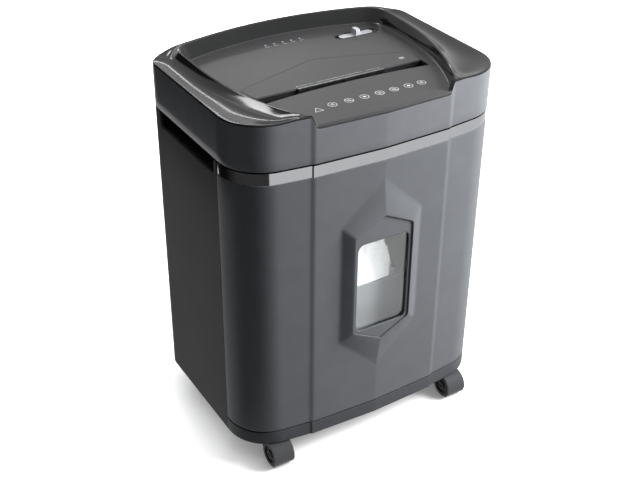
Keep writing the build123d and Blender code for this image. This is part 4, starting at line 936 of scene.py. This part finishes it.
heap_mesh = bmesh.new()
skin = []
for y in np.linspace(heap_low.y + heap_gap, heap_high.y - heap_gap, 84):
    places = [in_bucket(x, y) for x in np.linspace(heap_low.x + heap_gap, heap_high.x - heap_gap, 110)]
    skin.append([heap_mesh.verts.new((px, py, heap_height(px, py))) for px, py in places])
for a, b in zip(skin, skin[1:]):
    for i in range(len(a) - 1):
        heap_mesh.faces.new((a[i], a[i + 1], b[i + 1], b[i]))
border = skin[0] + [line[-1] for line in skin[1:]] + skin[-1][-2::-1] + [line[0] for line in skin[-2:0:-1]]
foot = [heap_mesh.verts.new((v.co.x, v.co.y, heap_low.z + 0.0005)) for v in border]
for i in range(len(border)):
    j = (i + 1) % len(border)
    heap_mesh.faces.new((border[j], border[i], foot[i], foot[j]))
heap_mesh.faces.new(foot)
for _ in range(strip_count):
    x = rng.uniform(heap_low.x + 0.012, heap_high.x - 0.012)
    y = rng.uniform(heap_low.y + 0.012, heap_high.y - 0.012)
    z = heap_height(x, y) + rng.uniform(0.0002, 0.0016)
    slope_x = (heap_height(x + 0.002, y) - heap_height(x - 0.002, y)) / 0.004
    slope_y = (heap_height(x, y + 0.002) - heap_height(x, y - 0.002)) / 0.004
    up = Vector((-slope_x, -slope_y, 1.0)) + Vector([rng.uniform(-0.35, 0.35) for _ in range(3)])
    turn = Matrix.Rotation(rng.uniform(0, math.tau), 3, "Z")
    lie = up.normalized().to_track_quat("Z", "Y").to_matrix() @ turn
    half_length, curl = rng.uniform(0.006, 0.011), rng.uniform(-0.0008, 0.0012)
    strip = []
    for t in (-1, -1 / 3, 1 / 3, 1):
        for side in (-1, 1):
            local = Vector((t * half_length, side * strip_half_breadth, curl * (1 - t * t) * 1.5))
            at = Vector((x, y, z)) + lie @ local
            at.z = min(at.z, heap_high.z - 0.0002)
            strip.append(heap_mesh.verts.new(at))
    for i in (0, 2, 4):
        heap_mesh.faces.new((strip[i], strip[i + 1], strip[i + 3], strip[i + 2]))
paper_heap = finish_mesh("paper_heap", heap_mesh, cut_paper, "bin", ["shred_heap"], 20.0)
# A small lamp reaches through the window and lights only the heap.
heap_lamp = soft_light("heap_lamp", (-0.46, -1.05, 0.85), (0.0, ridge_y + 0.05, 0.30), (0.25, 0.25), 16.0)
heap_lit = bpy.data.collections.new("heap_lit")
heap_lit.objects.link(paper_heap)
heap_lamp.light_linking.receiver_collection = heap_lit

# ---- Metal parts of the cutter: ground and hardened shafts and discs, plated sheet side plates and
# motor can, oil-filled bronze bushes and dark sintered gears, all with a film of oil and dust.


def make_machined_group():
    """Fine tool marks running one way, with a tone, a roughness and a height."""
    group, given, result = node_group(
        "machined",
        {"Stretch": (12.0, 1.0, 1.0), "Marks per metre": 900.0, "Roughness": 0.3},
        ("Tone", "Roughness", "Height", "Dust"),
    )
    place = object_place(group)
    stretched = add_vector_math(group, "MULTIPLY", place, given["Stretch"])["Vector"]
    marks = add_noise(group, stretched, given["Marks per metre"], 3.0, 0.6)
    uneven = add_math(group, "SUBTRACT", marks, 0.5)
    rough = add_math(group, "MULTIPLY_ADD", uneven, 0.22, given["Roughness"])
    dust = add_math(group, "POWER", add_noise(group, place, 120.0, 5.0, 0.7), 3.0)
    feed(group, result["Height"], marks)
    feed(group, result["Tone"], add_noise(group, place, 45.0, 4.0, 0.6))
    feed(group, result["Roughness"], add_math(group, "MAXIMUM", rough, 0.08))
    feed(group, result["Dust"], add_math(group, "MULTIPLY", dust, 1.4))
    return group


machined_group = make_machined_group()


def worked_metal(name, tone, rough, stretch, marks=900.0, dusty=(0.55, 0.54, 0.52)):
    """Bare or plated metal with tool marks, stains and a little paper dust in scattered patches."""
    material, tree, surface = new_material(name)
    work = place_group(tree, machined_group, Stretch=stretch, Marks_per_metre=marks, Roughness=rough)
    edges = place_group(tree, edge_group, Radius=0.0004, Wear=0.5)
    base = mix_colours(tree, work.outputs["Tone"], shade(tone, 0.8), shade(tone, 1.12))
    base = mix_colours(tree, work.outputs["Dust"], base, dusty)
    pale = tuple(min(0.9, c) for c in shade(tone, 1.3, 0.04))
    shader = add_node(
        tree, "BsdfPrincipled", Metallic=1.0,
        Base_Color=mix_colours(tree, edges.outputs["Mask"], base, pale),
        Roughness=work.outputs["Roughness"],
        Normal=add_bump(tree, work.outputs["Height"], 0.35, 0.00002, edges.outputs["Normal"]),
    )
    feed(tree, surface, shader.outputs[0])
    return material


for name, tone, rough, stretch, marks, nodes in (
    ("ground_steel", (0.50, 0.50, 0.52), 0.24, (1.0, 14.0, 14.0), 900.0,
     ("cutter_shaft_front", "cutter_shaft_rear", "tie_rods", "idler_pin", "motor_rotor")),
    ("disc_steel", (0.40, 0.39, 0.39), 0.34, (10.0, 1.0, 1.0), 700.0,
     ("cutter_discs_front", "cutter_discs_rear")),
    ("zinc_sheet", (0.60, 0.59, 0.54), 0.36, (1.0, 1.0, 6.0), 300.0,
     ("side_plate_left", "side_plate_right", "motor_can")),
    ("bronze", (0.55, 0.38, 0.18), 0.38, (1.0, 1.0, 1.0), 1500.0, ("shaft_bushes",)),
    ("gear_steel", (0.20, 0.20, 0.21), 0.42, (4.0, 1.0, 1.0), 1200.0,
     ("sync_gear_front", "sync_gear_rear", "drive_gear", "motor_pinion")),
):
    dress(worked_metal(name, tone, rough, stretch, marks), *nodes)

# ---- Small metal parts outside the cutter: black zinc screws in the back and under the head, and
# the brushed strip set along the throat, dull with paper dust.
black_zinc = worked_metal("black_zinc", (0.10, 0.10, 0.11), 0.38, (1.0, 1.0, 1.0), 1400.0, (0.2, 0.2, 0.2))
dress(black_zinc, "back_screws", "cover_screws")
lip_metal = worked_metal("lip_metal", (0.13, 0.135, 0.14), 0.42, (0.3, 8.0, 8.0), 700.0, (0.7, 0.7, 0.7))
dress(lip_metal, "throat_lip")

# ---- Nylon and moulded parts inside: natural nylon idler, dark glass-filled comb bars, and the small
# plunger of the interlock, which slides in the cutter bed.
nylon = moulded_plastic("nylon", (0.62, 0.60, 0.53), 0.38, 0.45, 900.0, 0.00001)
dress(nylon, "idler_gear")
comb_plastic = moulded_plastic("comb_plastic", (0.05, 0.05, 0.055), 0.5, 0.35, 700.0)
dress(comb_plastic, "stripper_combs", "interlock_plunger")

# ---- Switch: a polished black oval let into the deck, and a pale slider that runs in it with an
# upright fin to push. Both are moulded, the slider in glossy ABS.
switch_gloss = moulded_plastic("switch_gloss", (0.012, 0.012, 0.014), 0.12, 0.6, 300.0, 0.000004)
dress(switch_gloss, "switch_bezel")
switch_pale = moulded_plastic("switch_pale", (0.56, 0.57, 0.60), 0.26, 0.5, 900.0, 0.000006,
                              edge_tone=(0.72, 0.73, 0.75), radius=0.0008)
dress(switch_pale, "switch_slider")

# ---- Indicator lamps: five clear acrylic light guides, pushed up through the deck until they are
# flush with it, over the lamps of the indicator board.
lens_clear = moulded_plastic("lens_clear", (0.55, 0.56, 0.58), 0.16, 0.6, 1200.0, 0.000005, (0.7, 0.7, 0.72))
dress(lens_clear, "indicator_lenses")

# ---- Casters: satin black nylon hoods on steel sockets in the base tray, each over twin wheels with
# a matt rubber tread on one axle.
hood_tone = (0.055, 0.056, 0.060)
hood_plastic = moulded_plastic("hood_plastic", hood_tone, 0.36, 0.30, 1300.0, 0.00001, None, 0.0012)
tread_rubber = moulded_plastic("tread_rubber", (0.030, 0.030, 0.032), 0.62, 0.22, 800.0, 0.00004, None, 0.001)
for corner in ("front_left", "front_right", "rear_left", "rear_right"):
    dress(hood_plastic, f"caster_hood_{corner}")
    dress(tread_rubber, f"caster_wheels_{corner}")
caster_steel = worked_metal("caster_steel", (0.45, 0.45, 0.46), 0.35, (1.0, 1.0, 8.0))
dress(caster_steel, "caster_sockets")

# ---- Circuit boards: green solder mask with copper tracks showing through it, and moulded cases of
# the parts that stand on them.
board_mask, tree, surface = new_material("board_mask")
place = object_place(tree)
tracks = add_node(
    tree, "TexBrick", Vector=place, Scale=110.0, Mortar_Size=0.10, Mortar=(0.045, 0.200, 0.085, 1.0),
    Color1=(0.020, 0.105, 0.045, 1.0), Color2=(0.024, 0.120, 0.052, 1.0),
)
stain = add_noise(tree, place, 70.0, 3.0, 0.5)
shader = add_node(
    tree, "BsdfPrincipled",
    Base_Color=mix_colours(tree, stain, tracks.outputs["Color"], (0.018, 0.09, 0.04)),
    Roughness=add_math(tree, "MULTIPLY_ADD", add_noise(tree, place, 200.0), 0.15, 0.22),
    Normal=add_bump(tree, tracks.outputs["Fac"], 0.4, 0.00005),
)
feed(tree, surface, shader.outputs[0])
dress(board_mask, "control_board", "indicator_board")
part_cases = moulded_plastic("part_cases", (0.030, 0.032, 0.045), 0.34, 0.5, 800.0, 0.00001)
dress(part_cases, "board_parts")

# ---- Marks printed on the deck: plain rings, a triangle, dots and short dashes in pale ink, a film
# only hundredths of a millimetre thick.
pale_ink, tree, surface = new_material("pale_ink")
thin = add_noise(tree, object_place(tree), 700.0, 4.0, 0.6)
shader = add_node(
    tree, "BsdfPrincipled",
    Base_Color=mix_colours(tree, thin, (0.66, 0.67, 0.69), (0.84, 0.85, 0.86)),
    Roughness=add_math(tree, "MULTIPLY_ADD", thin, 0.2, 0.45),
    Normal=add_bump(tree, thin, 0.2, 0.00003),
)
feed(tree, surface, shader.outputs[0])
ink_z = deck_z + 0.00004
ink_t = 0.00003
marks = bmesh.new()


def print_film(outline, hole=None):
    """A thin film with the given outline, or the band between it and a hole of as many points."""
    rings = [
        [[marks.verts.new((x, y, z)) for x, y in line] for z in (ink_z, ink_z + ink_t)]
        for line in (outline, hole) if line
    ]
    count = len(outline)
    for i in range(count):
        j = (i + 1) % count
        for low, high in rings:
            marks.faces.new((low[i], low[j], high[j], high[i]))
        if hole:
            for outer_ring, inner_ring in zip(rings[0], rings[1]):
                marks.faces.new((outer_ring[i], outer_ring[j], inner_ring[j], inner_ring[i]))
    if not hole:
        for ring in rings[0]:
            marks.faces.new(ring)


def print_bar(x, y, length, breadth, turn=0.0):
    """A straight bar with square ends."""
    c, s = math.cos(turn), math.sin(turn)
    halves = [(a * length / 2, b * breadth / 2) for a, b in ((-1, -1), (1, -1), (1, 1), (-1, 1))]
    print_film([(x + a * c - b * s, y + a * s + b * c) for a, b in halves])


def print_ring(x, y, outer, inner, count=28, turn=0.0):
    """A ring, or the outline of a regular polygon."""
    print_film(round_outline(x, y, outer, count, turn), round_outline(x, y, inner, count, turn))


# Round signs along the deck's front edge, three kinds in turn: bars, a struck-out ring, a dot.
sign_y = ridge_y + 0.042
line_t = 0.0007
for i, x in enumerate((-0.0478, -0.0256, -0.0046, 0.0164, 0.0367, 0.0571, 0.0758)):
    print_ring(x, sign_y, 0.0056, 0.0049)
    if i % 3 == 0:
        for k in (-1, 0, 1):
            print_bar(x, sign_y + k * 0.0019, 0.0050, line_t)
    elif i % 3 == 1:
        print_ring(x, sign_y, 0.0022, 0.0014, 16)
        print_bar(x, sign_y, 0.0095, line_t, -0.78)
    else:
        print_film(round_outline(x, sign_y, 0.0026, 4, 0.4))
print_ring(-0.0693, ridge_y + 0.037, 0.0068, 0.0052, 3, math.pi / 2)
# A dash in front of each lamp, a ruler of small dashes along the throat and a stack of dashes at its end.
for lens_x in lens_xs:
    print_bar(lens_x, lens_low.y - 0.0045, 0.0062, 0.0006)
ruler_y = throat_far_y + 0.0050
for i in range(32):
    print_bar(-0.0310 + i * 0.0020, ruler_y, 0.0012 if i % 5 else 0.0005, 0.0008)
for x in (-0.046, 0.048):
    print_bar(x, ruler_y, 0.020, 0.0003)
print_film(round_outline(-0.058, ruler_y, 0.0009, 12))
for k in (-1, 0, 1):
    print_bar(0.0985, ridge_y + 0.1155 + k * 0.0018, 0.0075 - 0.001 * abs(k), 0.0008)
finish_mesh("deck_marks", marks, pale_ink, "cabinet", (), 30.0)
